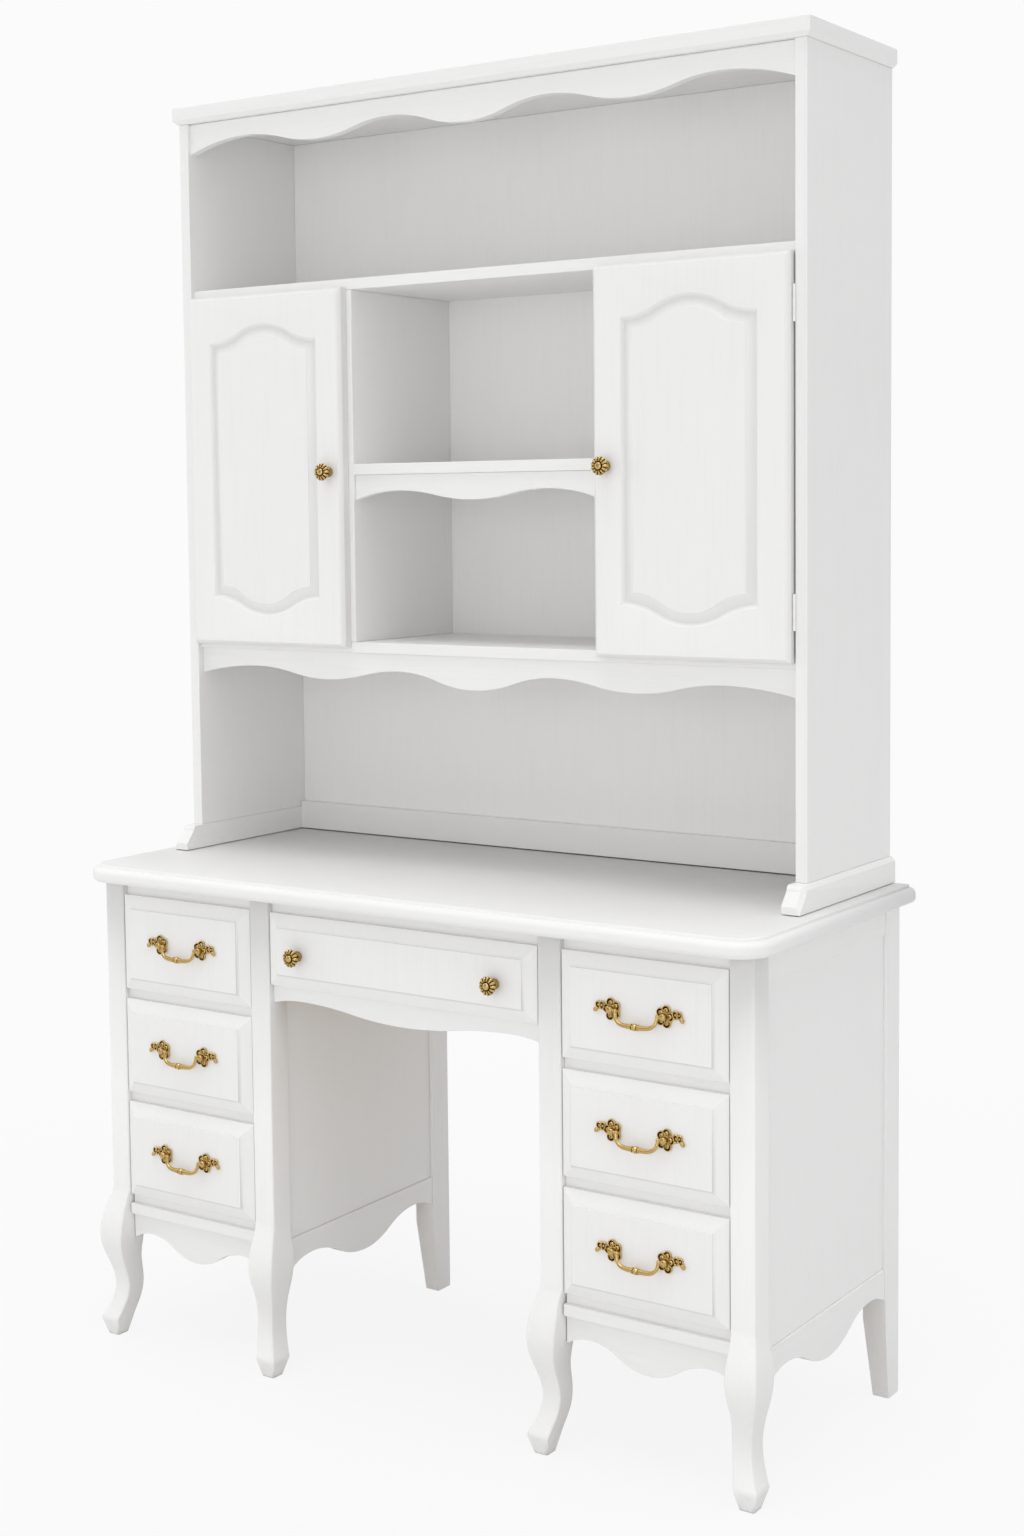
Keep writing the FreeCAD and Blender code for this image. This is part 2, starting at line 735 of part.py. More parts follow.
def drawer_box(label, wide, high, x, bottom):
    """Two sides, a back and a floor behind the front."""
    low_x = f"{x} - {wide} / 2"
    inside_x = f"{low_x} + box_wall"
    inside = f"{wide} - 2 * box_wall"
    low_z = f"{bottom} + front_overlap + runner_clear"
    side_size = ("box_wall", BOX_DEPTH, high)
    group(label, [
        box(f"{label}_left", side_size, (low_x, FRONT_BACK, low_z)),
        box(f"{label}_right", side_size, (f"{low_x} + {wide} - box_wall", FRONT_BACK, low_z)),
        box(f"{label}_back", (inside, "box_wall", high),
            (inside_x, f"{FRONT_BACK} + {BOX_DEPTH} - box_wall", low_z)),
        box(f"{label}_floor", (inside, f"{BOX_DEPTH} - box_wall", "box_floor"),
            (inside_x, FRONT_BACK, f"{low_z} + box_floor_lift")),
    ])


def pull_plate(label, sign, x, z):
    """A rosette of five petals with a leaf that points outward, and the post that holds the bail."""
    plate = new_body(label)
    sketch = new_sketch(plate, "XZ_Plane", f"{label}_outline")
    petals, leaf_angle = 5, 50
    sweep = (360 - 2 * leaf_angle) / petals
    corners = []
    for n in range(petals + 1):
        angle = leaf_angle + n * sweep
        turn = ("left", "petal_round") if n < petals else ("left", "leaf_round")
        reach = f"{sign} * petal_circle"
        corners.append((f"{reach} * cos({angle})", f"{reach} * sin({angle})", *turn))
    corners.append((f"{sign} * leaf_reach", "0", "left", "leaf_round"))
    outline(sketch, corners)
    pad(plate, sketch, "plate_thick")
    post = new_sketch(plate, "XZ_Plane", f"{label}_post", "plate_thick")
    circle(post, "0", "0", "pull_post / 2")
    stem = pad(plate, post, "pull_reach + pull_cap - plate_thick")
    tip = -value("pull_reach + pull_cap")
    cap = dress_edges(plate, "Fillet", stem, "cap_round", lambda bounds: near(bounds.YMax, tip))
    doc.recompute()
    whole = cap.Shape.Volume
    eye = new_sketch(plate, "YZ_Plane", f"{label}_eye")
    circle(eye, "-pull_reach", "0", "wire / 2 + pin_clear")
    hole = plate.newObject("PartDesign::Pocket", f"{label}_hole")
    hole.Profile = eye
    hole.Type = "ThroughAll"
    hole.Midplane = True
    doc.recompute()
    if hole.Shape.Volume >= whole:
        raise RuntimeError(f"the eye of {label} cuts nothing")
    place(plate, f"{x} + {sign} * pull_span / 2", FIELD_FACE, z)
    return plate


def bail(label, x, z):
    """A drop handle: pins in the two posts, arms that lean out, and a bead at its middle."""
    handle = new_body(label)
    pin_end = "(pull_span / 2 + pin_reach)"
    shoulder = "(pull_span / 2 - pull_post / 2 - bail_clear)"
    arm = f"({shoulder} - bail_round)"
    bend = f"({arm} - bail_corner)"
    low = "(bail_drop - bail_corner)"
    wire_end = new_sketch(handle, "YZ_Plane", f"{label}_wire", f"-{pin_end}")
    circle(wire_end, "0", "0", "wire / 2")
    path = new_sketch(handle, "XZ_Plane", f"{label}_path")
    lean = FreeCAD.Rotation(FreeCAD.Vector(1, 0, 0), -value("bail_lean"))
    path.AttachmentOffset = FreeCAD.Placement(FreeCAD.Vector(), lean)
    path.setExpression("AttachmentOffset.Rotation.Angle", bound("-bail_lean * 1 deg"))
    outline(path, [
        (f"-{pin_end}", "0"),
        (f"-{shoulder}", "0", "right", "bail_round"),
        (f"-{arm}", "-bail_round"),
        (f"-{arm}", f"-{low}", "left", "bail_corner"),
        (f"-{bend}", "-bail_drop"),
        (bend, "-bail_drop", "left", "bail_corner"),
        (arm, f"-{low}"),
        (arm, "-bail_round", "right", "bail_round"),
        (shoulder, "0"),
        (pin_end, "0"),
    ], closed=False)
    pipe = handle.newObject("PartDesign::AdditivePipe", f"{label}_pipe")
    pipe.Profile = wire_end
    pipe.Spine = path
    bead = new_sketch(handle, "XZ_Plane", f"{label}_bead")
    bead.setExpression("AttachmentOffset.Base.y", bound("-bail_drop * cos(bail_lean)"))
    bead.setExpression("AttachmentOffset.Base.z", bound("bail_drop * sin(bail_lean)"))
    bead_round = "((bead_length / 2) ^ 2 + bead_height ^ 2) / (2 * bead_height)"
    outline(bead, [
        ("-bead_length / 2", "0"),
        ("bead_length / 2", "0", "left", bead_round),
    ])
    revolve(handle, bead, "H_Axis")
    place(handle, x, f"{FIELD_FACE} - pull_reach", z)
    alone(handle)


def knob(label, x, y, z):
    """A round knob: a foot, a waisted neck and a domed head."""
    turned = new_body(label)
    sketch = new_sketch(turned, "XY_Plane", f"{label}_outline")
    dome_round = "((knob_dia / 2) ^ 2 + knob_dome ^ 2) / (2 * knob_dome)"
    outline(sketch, [
        ("0", "0"),
        ("0", "-knob_length", "left", dome_round),
        ("knob_dia / 2", "knob_dome - knob_length"),
        ("knob_dia / 2", "knob_dome + knob_rim - knob_length"),
        ("knob_neck / 2", "-knob_neck_end"),
        ("knob_neck / 2", "-knob_foot_thick - knob_flare"),
        ("knob_foot / 2", "-knob_foot_thick"),
        ("knob_foot / 2", "0"),
    ])
    revolve(turned, sketch, "V_Axis")
    place(turned, x, y, z)
    return turned


def pedestal_drawers():
    width = f"({BAY} - 2 * front_gap)"
    box_width = f"({BAY} - 2 * box_gap)"
    for side, sign in SIDES:
        x = f"({sign} * {BAY_CENTRE})"
        for level, level_name in enumerate(LEVELS):
            name = f"{side}_{level_name}"
            bottom = front_bottom(level)
            drawer_front(f"{name}_drawer_front", width, "drawer_front_height", x, bottom)
            drawer_box(f"{name}_drawer_box", box_width, "box_height", x, bottom)
            pull_z = f"{bottom} + drawer_front_height / 2 + pull_rise"
            plates = [pull_plate(f"{name}_{end}_plate", way, x, pull_z) for end, way in SIDES]
            group(f"{name}_pull_plates", plates)
            bail(f"{name}_bail", x, pull_z)


def centre_drawer():
    width = "(kneehole_width - 2 * front_gap)"
    box_width = "(kneehole_width - 2 * box_gap)"
    drawer_front("centre_drawer_front", width, "centre_front_height", "0", CENTRE_BOTTOM)
    drawer_box("centre_drawer_box", box_width, "centre_box_height", "0", CENTRE_BOTTOM)
    knob_z = f"{CENTRE_BOTTOM} + centre_front_height / 2 - knob_drop"
    group("centre_drawer_knobs", [
        knob(f"centre_{side}_knob", f"{sign} * knob_span / 2", FIELD_FACE, knob_z) for side, sign in SIDES])


def hutch_case():
    """Sides, back and crown of the hutch."""
    side_z = "desk_height + foot_height"
    side_height = f"{HUTCH_CEILING} - desk_height - foot_height"
    sides = []
    for side, sign in SIDES:
        low_x = mirrored(sign, HUTCH_INNER, "hutch_side")
        sides.append(box(f"{side}_hutch_side", ("hutch_side", "hutch_depth", side_height),
                         (low_x, HUTCH_FRONT, side_z)))
    group("hutch_sides", sides)
    alone(box("hutch_back", (f"2 * {HUTCH_INNER}", "hutch_back_thick", side_height),
              (f"-{HUTCH_INNER}", HUTCH_BACK, side_z)))
    crown = new_body("hutch_crown")
    plan = new_sketch(crown, "XY_Plane", "crown_plan", HUTCH_CEILING)
    crown_depth = "(hutch_depth + crown_overhang)"
    rectangle(plan, "0", f"({REAR} - {crown_depth} / 2)", "hutch_width + 2 * crown_overhang", crown_depth)
    board = pad(crown, plan, "crown_thick")
    low, rear = value(HUTCH_CEILING), value(REAR)
    dress_edges(crown, "Chamfer", board, "crown_bevel",
                lambda bounds: near(bounds.ZMax, low) and not near(bounds.YMin, rear))
    alone(crown)


def hutch_plinth():
    """Two shaped feet under the sides and the strip that closes the back between them."""
    pieces = []
    foot_width = "(hutch_side + foot_out + foot_in)"
    front = f"({HUTCH_FRONT} - foot_reach)"
    top = "(desk_height + foot_height)"
    for side, sign in SIDES:
        foot = new_body(f"{side}_hutch_foot")
        low_x = mirrored(sign, f"({HUTCH_INNER} - foot_in)", foot_width)
        sketch = new_sketch(foot, "YZ_Plane", f"{side}_foot_outline", low_x)
        outline(sketch, [
            (front, "desk_height"),
            (REAR, "desk_height"),
            (REAR, top),
            (f"{front} + foot_slope + foot_round", top, "left", "foot_round"),
            (f"{front} + foot_slope", f"{top} - foot_round"),
            (front, "desk_height + foot_toe"),
        ])
        block = pad(foot, sketch, foot_width)
        outer_x = sign * value(f"{HUTCH_INNER} + hutch_side + foot_out")
        toe_z, rear_y = value("desk_height + foot_toe"), value(REAR)

        def outer_shoulder(bounds):
            outer = near(bounds.XMin, outer_x) and near(bounds.XMax, outer_x)
            return outer and bounds.ZMin > toe_z - 0.01 and not near(bounds.YMin, rear_y)

        dress_edges(foot, "Chamfer", block, "foot_bevel", outer_shoulder)
        pieces.append(foot)
    strip_half = f"({HUTCH_INNER} - foot_in)"
    strip_size = (f"2 * {strip_half}", "back_strip_thick", "back_strip_height")
    strip_corner = (f"-{strip_half}", f"{HUTCH_BACK} - back_strip_thick", "desk_height")
    pieces.append(box("back_strip", strip_size, strip_corner))
    group("hutch_plinth", pieces)


def shelves():
    full, bay = f"2 * {HUTCH_INNER}", "open_bay"
    for label, wide, level in (
            ("upper_shelf", full, UPPER_SHELF),
            ("middle_shelf", bay, MIDDLE_SHELF),
            ("lower_shelf", full, LOWER_SHELF)):
        corner = (f"-({wide}) / 2", SHELF_FRONT, level)
        alone(box(label, (wide, SHELF_DEPTH, "shelf_thick"), corner))
    floor = f"{LOWER_SHELF} + shelf_thick"
    size = ("divider_thick", SHELF_DEPTH, f"{UPPER_SHELF} - ({floor})")
    group("cupboard_dividers", [
        box(f"{side}_divider", size, (mirrored(sign, "open_bay / 2", "divider_thick"), SHELF_FRONT, floor))
        for side, sign in SIDES])


def valances():
    def drops(place_name, turns):
        return [f"{place_name}_{turn}_drop" for turn in turns]

    long_wave = ("crest", "dip", "crest", "centre", "crest", "dip", "crest")
    short_wave = ("crest", "centre", "crest")
    shelf_valance_front = f"({SHELF_FRONT} + valance_set_in)"
    for place_name, front, span, top, end_run, wave in (
            ("top", f"({HUTCH_FRONT} + valance_set_in)", f"(2 * {HUTCH_INNER})", HUTCH_CEILING,
             "valance_end_run", long_wave),
            ("middle", shelf_valance_front, "open_bay", MIDDLE_SHELF, "middle_end_run", short_wave),
            ("lower", shelf_valance_front, f"(2 * {HUTCH_INNER})", LOWER_SHELF,
             "valance_end_run", long_wave)):
        alone(wavy_board(
            f"{place_name}_valance", front, "valance_thick", "0", span, top,
            end_run, f"{place_name}_end_drop", drops(place_name, wave)))


DOOR_WIDTH = f"({HUTCH_INNER} - door_gap - open_bay / 2 - door_reveal)"
DOOR_BOTTOM = f"({LOWER_SHELF} + shelf_thick - door_bottom_lap)"
DOOR_HEIGHT = f"({UPPER_SHELF} + door_top_lap - {DOOR_BOTTOM})"
DOOR_CENTRE = f"(open_bay / 2 + door_reveal + {DOOR_WIDTH} / 2)"


def arched_outline(sketch, wide, high, rise):
    """A panel whose top rises, and whose foot falls, in a double S curve."""
    reach = f"(({wide}) / 4)"
    radius = f"({reach} ^ 2 + ({rise} / 2) ^ 2) / {rise}"
    corners = []
    for sign in (1, -1):
        x, y = f"{sign} * ({wide})", f"{sign} * ({high}) / 2"
        corners += [
            (f"{x} / 2", y, "right", radius),
            (f"{x} / 4", f"{y} + {sign} * {rise} / 2", "left", radius),
            ("0", f"{y} + {sign} * {rise}", "left", radius),
            (f"-{x} / 4", f"{y} + {sign} * {rise} / 2", "right", radius),
            (f"-{x} / 2", y),
        ]
    outline(sketch, corners)


def door(side, sign):
    """A slab with a bevelled edge, routed to leave a raised panel with an arched head and foot."""
    label = f"{side}_door"
    slab = new_body(label)
    plan = new_sketch(slab, "XZ_Plane", f"{label}_outline")
    rectangle(plan, "0", "0", DOOR_WIDTH, DOOR_HEIGHT)
    blank = pad(slab, plan, "door_thick")
    face = -value("door_thick")
    edged = dress_edges(slab, "Chamfer", blank, "door_bevel", lambda bounds: near(bounds.YMax, face))

    def panel(depth, inset):
        sketch = new_sketch(slab, "XZ_Plane", f"{label}_panel", depth)
        wide = f"{DOOR_WIDTH} - 2 * stile - 2 * {inset}"
        high = f"{DOOR_HEIGHT} - 2 * door_rail - 2 * {inset}"
        arched_outline(sketch, wide, high, "arch_rise")
        return sketch

    doc.recompute()
    whole = edged.Shape.Volume
    floor = "door_thick - panel_sink"
    sunk = slab.newObject("PartDesign::SubtractiveLoft", f"{label}_sinking")
    sunk.Profile = panel("door_thick", "0")
    sunk.Sections = [panel(floor, "panel_cove")]
    sunk.Ruled = True
    doc.recompute()
    if sunk.Shape.Volume >= whole:
        raise RuntimeError(f"the panel of {label} is not sunk")
    shoulder = "door_thick - panel_low - panel_step"
    loft(slab, [panel(floor, "groove"), panel(shoulder, "panel_bevel")], ruled=True)
    pad(slab, panel(shoulder, "panel_bevel"), "panel_step")
    place(slab, f"{sign} * {DOOR_CENTRE}", DOOR_BACK, f"{DOOR_BOTTOM} + {DOOR_HEIGHT} / 2")
    alone(slab)
    knob_x = f"{sign} * (open_bay / 2 + door_reveal + stile / 2)"
    knob_z = f"{DOOR_BOTTOM} + {DOOR_HEIGHT} / 2 - door_knob_drop"
    alone(knob(f"{side}_door_knob", knob_x, f"{DOOR_BACK} - door_thick", knob_z))


def cylinder(label, radius, height, x, y, z):
    rod = doc.addObject("Part::Cylinder", label)
    rod.setExpression("Radius", bound(radius))
    rod.setExpression("Height", bound(height))
    place(rod, x, y, z)
    return rod


def fused(label, pieces):
    whole = doc.addObject("Part::MultiFuse", label)
    whole.Shapes = pieces
    whole.Refine = False
    return whole


def hinge(label, sign, bottom):
    """A butt hinge whose knuckles stand before the case: two and the pin on its leaf, one on the door's."""
    axis_x = f"({sign} * ({HUTCH_INNER} - door_gap + hinge_fit + knuckle / 2))"
    axis_y = f"({HUTCH_FRONT} - hinge_fit - knuckle / 2)"
    third = "(hinge_height / 3)"
    outer_knuckle = f"({third} - knuckle_gap / 2)"
    inner_knuckle = f"({third} - knuckle_gap)"
    plate_y = f"({axis_y} + knuckle / 2 + hinge_fit)"
    tab = "(knuckle / 2 + hinge_fit)"
    case_x = mirrored(sign, f"{HUTCH_INNER} - leaf_thick", "leaf_thick")
    door_x = mirrored(sign, f"{HUTCH_INNER} - door_gap", "leaf_thick")
    upper = f"{bottom} + hinge_height - {outer_knuckle}"
    middle = f"{bottom} + {third} + knuckle_gap / 2"
    case_leaf = [
        box(f"{label}_case_plate", ("leaf_thick", "leaf_width", "hinge_height"), (case_x, plate_y, bottom)),
        cylinder(f"{label}_pin", "hinge_pin / 2", "hinge_height", axis_x, axis_y, bottom),
    ]
    for name, low in (("lower", bottom), ("upper", upper)):
        case_leaf += [
            box(f"{label}_{name}_tab", ("leaf_thick", tab, outer_knuckle), (case_x, axis_y, low)),
            cylinder(f"{label}_{name}_knuckle", "knuckle / 2", outer_knuckle, axis_x, axis_y, low),
        ]
    door_plate = f"({DOOR_BACK} - {plate_y})"
    door_leaf = fused(f"{label}_door_plate", [
        box(f"{label}_door_blade", ("leaf_thick", door_plate, "hinge_height"), (door_x, plate_y, bottom)),
        box(f"{label}_door_tab", ("leaf_thick", tab, inner_knuckle), (door_x, axis_y, middle)),
        cylinder(f"{label}_door_knuckle", "knuckle / 2", inner_knuckle, axis_x, axis_y, middle),
    ])
    bore = cylinder(f"{label}_bore", "hinge_pin / 2 + hinge_fit", "hinge_height", axis_x, axis_y, bottom)
    bored = doc.addObject("Part::Cut", f"{label}_door_leaf")
    bored.Base = door_leaf
    bored.Tool = bore
    return fused(f"{label}_case_leaf", case_leaf), bored


def hinges():
    case_leaves = []
    for side, sign in SIDES:
        door_leaves = []
        for name, bottom in (
                ("lower", f"({DOOR_BOTTOM} + hinge_inset - hinge_height / 2)"),
                ("upper", f"({DOOR_BOTTOM} + {DOOR_HEIGHT} - hinge_inset - hinge_height / 2)")):
            case_leaf, door_leaf = hinge(f"{side}_{name}_hinge", sign, bottom)
            case_leaves.append(case_leaf)
            door_leaves.append(door_leaf)
        group(f"{side}_door_hinges", door_leaves)
    group("case_hinges", case_leaves)


desk_top()
for face_name, face_plane, face_out in FACES:
    front_leg(f"{face_name}_leg", face_plane, face_out)
group("rear_legs", [rear_leg(f"{name}_rear_leg", face, out) for name, face, out in FACES])
pedestal_sides()
front_rails()
front_aprons()
desk_backs()
drawer_runners()
pedestal_drawers()
centre_drawer()
hutch_case()
hutch_plinth()
shelves()
valances()
for door_side, door_sign in SIDES:
    door(door_side, door_sign)
hinges()
doc.recompute()

for item in doc.Objects:
    if "Invalid" in item.State or "Error" in item.State:
        raise RuntimeError(f"{item.Label} did not build: {item.State}")
for node in nodes:
    if node.Shape.isNull() or not node.Shape.isValid():
        raise RuntimeError(f"{node.Label} has no valid shape")

os.makedirs("parts", exist_ok=True)
for node in nodes:
    node.Shape.exportStep(f"parts/{node.Label}.step")
print(f"{len(nodes)} nodes, {sum(len(node.Shape.Solids) for node in nodes)} solids")
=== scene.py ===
# %% [markdown]
# # A painted desk with a hutch
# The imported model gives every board, drawer and door in metres, in one frame: +X is to the sitter's
# right, -Y is towards the sitter and +Z is up. This lesson dresses it: soft arrises and satin paint on
# the boards, bare wood on the drawer boxes, and cast brass for the pulls and knobs.

# %% Load the frame
import json
import math
import bmesh
import bpy
from mathutils import Matrix, Vector


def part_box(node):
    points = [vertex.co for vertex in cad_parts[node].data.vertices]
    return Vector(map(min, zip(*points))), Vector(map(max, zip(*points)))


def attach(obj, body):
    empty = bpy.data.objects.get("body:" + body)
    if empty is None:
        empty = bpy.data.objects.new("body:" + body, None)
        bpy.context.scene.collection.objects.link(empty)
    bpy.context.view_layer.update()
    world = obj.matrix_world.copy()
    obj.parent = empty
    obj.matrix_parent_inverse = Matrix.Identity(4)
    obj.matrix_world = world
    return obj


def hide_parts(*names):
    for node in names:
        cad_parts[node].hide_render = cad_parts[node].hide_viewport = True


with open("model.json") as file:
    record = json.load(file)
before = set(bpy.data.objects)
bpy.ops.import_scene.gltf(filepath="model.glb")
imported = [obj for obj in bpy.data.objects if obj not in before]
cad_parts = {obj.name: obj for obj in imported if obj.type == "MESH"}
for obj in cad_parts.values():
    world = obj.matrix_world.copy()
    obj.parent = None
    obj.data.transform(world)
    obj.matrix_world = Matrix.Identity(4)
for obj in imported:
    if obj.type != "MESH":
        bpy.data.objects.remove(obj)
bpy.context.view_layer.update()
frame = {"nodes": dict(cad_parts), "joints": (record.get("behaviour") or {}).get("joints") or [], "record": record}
nodes = frame["nodes"]
scene = bpy.context.scene
MM = 0.001

# %% [markdown]
# ## Camera
# The photograph is taken from the right of the desk, a little above the middle of the hutch. The place,
# the turn and the lens were found by fitting the straight edges of the desk. A shift, and not a tilt,
# keeps the posts upright in the picture, as a product photographer's lens does.

# %% Place the camera
PHOTO_HIGH = 1536
FOCAL_PIXELS = 2173.2
AXIS_ROW = 668.1
CAMERA_PLACE = (1.87385, -2.67621, 1.32055)
CAMERA_TURN, CAMERA_TILT, CAMERA_ROLL = 34.111, -4.298, 0.589

lens = bpy.data.cameras.new("photo_camera")
lens.sensor_width = 36
lens.lens = FOCAL_PIXELS / PHOTO_HIGH * lens.sensor_width
lens.shift_y = (AXIS_ROW - PHOTO_HIGH / 2) / PHOTO_HIGH
camera = bpy.data.objects.new("photo_camera", lens)
scene.collection.objects.link(camera)
look = Matrix.Rotation(math.radians(CAMERA_TURN), 4, "Z")
look @= Matrix.Rotation(math.radians(CAMERA_TILT), 4, "X")
look @= Matrix.Rotation(math.radians(CAMERA_ROLL), 4, "Y")
camera.matrix_world = Matrix.Translation(CAMERA_PLACE) @ look @ Matrix.Rotation(math.radians(90), 4, "X")
scene.camera = camera
scene.view_settings.view_transform = "Standard"
print("lens", round(lens.lens, 2), "mm, shift", round(lens.shift_y, 4))

# %% [markdown]
# ## Studio
# White furniture needs gentle light, or its faces melt into each other. An even sky does most of the work.
# A broad lamp low in front reaches into the shelves, one at each side models the bevels and the ends, and
# one high above lights the writing top, far enough off to treat the crown alike. None stands where the
# paint would mirror it to the camera. The camera sees the sky and the floor as the studio's white. Mirror
# rays see a studio with dim walls under a bright ceiling, because polished metal in an even white room has
# no form.

# %% Light the studio
STUDIO_WHITE = (0.965, 0.965, 0.968, 1)
SKY_COLOUR = (0.98, 0.985, 1.0, 1)
SKY_LIGHT = 0.735
DIM_WALLS, BRIGHT_CEILING = 0.10, 1.15
WALLS_BELOW, CEILING_ABOVE = -0.1, 0.8


def seen_directly(tree):
    """A factor of 1 for camera and glass rays."""
    path = tree.nodes.new("ShaderNodeLightPath")
    either = tree.nodes.new("ShaderNodeMath")
    either.operation = "MAXIMUM"
    tree.links.new(path.outputs["Is Camera Ray"], either.inputs[0])
    tree.links.new(path.outputs["Is Transmission Ray"], either.inputs[1])
    return either.outputs[0]


world = bpy.data.worlds.new("studio_sky")
scene.world = world
world.use_nodes = True
tree = world.node_tree
tree.nodes.clear()
sky = tree.nodes.new("ShaderNodeBackground")
sky.inputs["Color"].default_value = SKY_COLOUR
sky.inputs["Strength"].default_value = SKY_LIGHT
direction = tree.nodes.new("ShaderNodeTexCoord")
parts = tree.nodes.new("ShaderNodeSeparateXYZ")
height = tree.nodes.new("ShaderNodeMapRange")
height.inputs["From Min"].default_value = WALLS_BELOW
height.inputs["From Max"].default_value = CEILING_ABOVE
height.inputs["To Min"].default_value = DIM_WALLS
height.inputs["To Max"].default_value = BRIGHT_CEILING
tree.links.new(direction.outputs["Generated"], parts.inputs[0])
tree.links.new(parts.outputs["Z"], height.inputs["Value"])
room = tree.nodes.new("ShaderNodeBackground")
room.inputs["Color"].default_value = SKY_COLOUR
tree.links.new(height.outputs["Result"], room.inputs["Strength"])
path = tree.nodes.new("ShaderNodeLightPath")
unseen = tree.nodes.new("ShaderNodeMixShader")
tree.links.new(path.outputs["Is Glossy Ray"], unseen.inputs["Fac"])
tree.links.new(sky.outputs[0], unseen.inputs[1])
tree.links.new(room.outputs[0], unseen.inputs[2])
white = tree.nodes.new("ShaderNodeBackground")
white.inputs["Color"].default_value = STUDIO_WHITE
either = tree.nodes.new("ShaderNodeMixShader")
out = tree.nodes.new("ShaderNodeOutputWorld")
tree.links.new(seen_directly(tree), either.inputs["Fac"])
tree.links.new(unseen.outputs[0], either.inputs[1])
tree.links.new(white.outputs[0], either.inputs[2])
tree.links.new(either.outputs[0], out.inputs["Surface"])


def soft_lamp(name, place, target, size, power):
    """A round lamp, size across in metres and power in watts, turned towards a target."""
    lamp = bpy.data.lights.new(name, "AREA")
    lamp.shape = "DISK"
    lamp.size = size
    lamp.energy = power
    holder = bpy.data.objects.new(name, lamp)
    scene.collection.objects.link(holder)
    aim = Vector(target) - Vector(place)
    holder.rotation_euler = aim.to_track_quat("-Z", "Y").to_euler()
    holder.location = place


DESK_MIDDLE = (0, 0, 1.0)
soft_lamp("front_lamp", (1.0, -4.8, 1.4), DESK_MIDDLE, 2.4, 29)
soft_lamp("right_lamp", (4.5, -0.8, 1.8), DESK_MIDDLE, 2.4, 11)
soft_lamp("left_lamp", (-4.4, -1.6, 1.8), DESK_MIDDLE, 2.4, 22)
soft_lamp("top_lamp", (0.9, -3.3, 20.0), DESK_MIDDLE, 13.0, 1270)

# %% [markdown]
# The floor is a wide sheet of the studio's white. Most of what the camera sees of it is that flat white.
# Near the desk a share of it is a lit surface, so the feet keep a faint shadow and don't seem to float,
# and the share fades with distance, so that the sheet runs into the sky with no horizon.

# %% Lay the floor
FLOOR_HALF = 30.0
SHADOW_SHARE = 0.12
SHADOW_REACH = 2.2
FLOOR_GREY = (0.78, 0.78, 0.78, 1)
sheet = bmesh.new()
bmesh.ops.create_grid(sheet, x_segments=1, y_segments=1, size=FLOOR_HALF)
floor_mesh = bpy.data.meshes.new("floor")
sheet.to_mesh(floor_mesh)
sheet.free()
floor = bpy.data.objects.new("floor", floor_mesh)
scene.collection.objects.link(floor)
floor_paper = bpy.data.materials.new("floor_paper")
floor_paper.use_nodes = True
tree = floor_paper.node_tree
tree.nodes.clear()
lit = tree.nodes.new("ShaderNodeBsdfDiffuse")
lit.inputs["Color"].default_value = FLOOR_GREY
flat = tree.nodes.new("ShaderNodeEmission")
flat.inputs["Color"].default_value = STUDIO_WHITE
place = tree.nodes.new("ShaderNodeTexCoord")
nearness = tree.nodes.new("ShaderNodeTexGradient")
nearness.gradient_type = "SPHERICAL"
reach = tree.nodes.new("ShaderNodeMapping")
reach.inputs["Scale"].default_value = [1 / SHADOW_REACH] * 3
keep = tree.nodes.new("ShaderNodeMath")
keep.operation = "MULTIPLY_ADD"
keep.inputs[1].default_value = -SHADOW_SHARE
keep.inputs[2].default_value = 1.0
tree.links.new(place.outputs["Object"], reach.inputs["Vector"])
tree.links.new(reach.outputs["Vector"], nearness.inputs["Vector"])
tree.links.new(nearness.outputs["Fac"], keep.inputs[0])
share = tree.nodes.new("ShaderNodeMath")
share.operation = "MULTIPLY"
tree.links.new(keep.outputs[0], share.inputs[1])
mix = tree.nodes.new("ShaderNodeMixShader")
out = tree.nodes.new("ShaderNodeOutputMaterial")
tree.links.new(seen_directly(tree), share.inputs[0])
tree.links.new(share.outputs[0], mix.inputs["Fac"])
tree.links.new(lit.outputs[0], mix.inputs[1])
tree.links.new(flat.outputs[0], mix.inputs[2])
tree.links.new(mix.outputs[0], out.inputs["Surface"])
floor_mesh.materials.append(floor_paper)
print("floor", FLOOR_HALF * 2, "m square")

# %% [markdown]
# ## Finishes
# Every pattern is made from noise on Object coordinates. The objects sit at the origin, so these are the
# frame's own metres, and one pattern runs on from board to board at its real scale. A stretched noise is
# the whole secret of brush marks and of grain: it is drawn out along the way the brush or the tree ran.

# %% Helpers for finishes
NOISE_LOW, NOISE_HIGH = 0.3, 0.7
EVEN = (1, 1, 1)


def new_finish(name):
    material = bpy.data.materials.new(name)
    material.use_nodes = True
    tree = material.node_tree
    surface = tree.nodes["Principled BSDF"]
    return material, tree, surface


def stretched_noise(tree, scale, stretch, detail=3.0, roughness=0.55):
    """Noise on Object coordinates; stretch holds how much finer it is along X, Y and Z."""
    place = tree.nodes.new("ShaderNodeTexCoord")
    mapping = tree.nodes.new("ShaderNodeMapping")
    mapping.inputs["Scale"].default_value = stretch
    noise = tree.nodes.new("ShaderNodeTexNoise")
    noise.inputs["Scale"].default_value = scale
    noise.inputs["Detail"].default_value = detail
    noise.inputs["Roughness"].default_value = roughness
    tree.links.new(place.outputs["Object"], mapping.inputs["Vector"])
    tree.links.new(mapping.outputs["Vector"], noise.inputs["Vector"])
    return noise.outputs["Fac"]


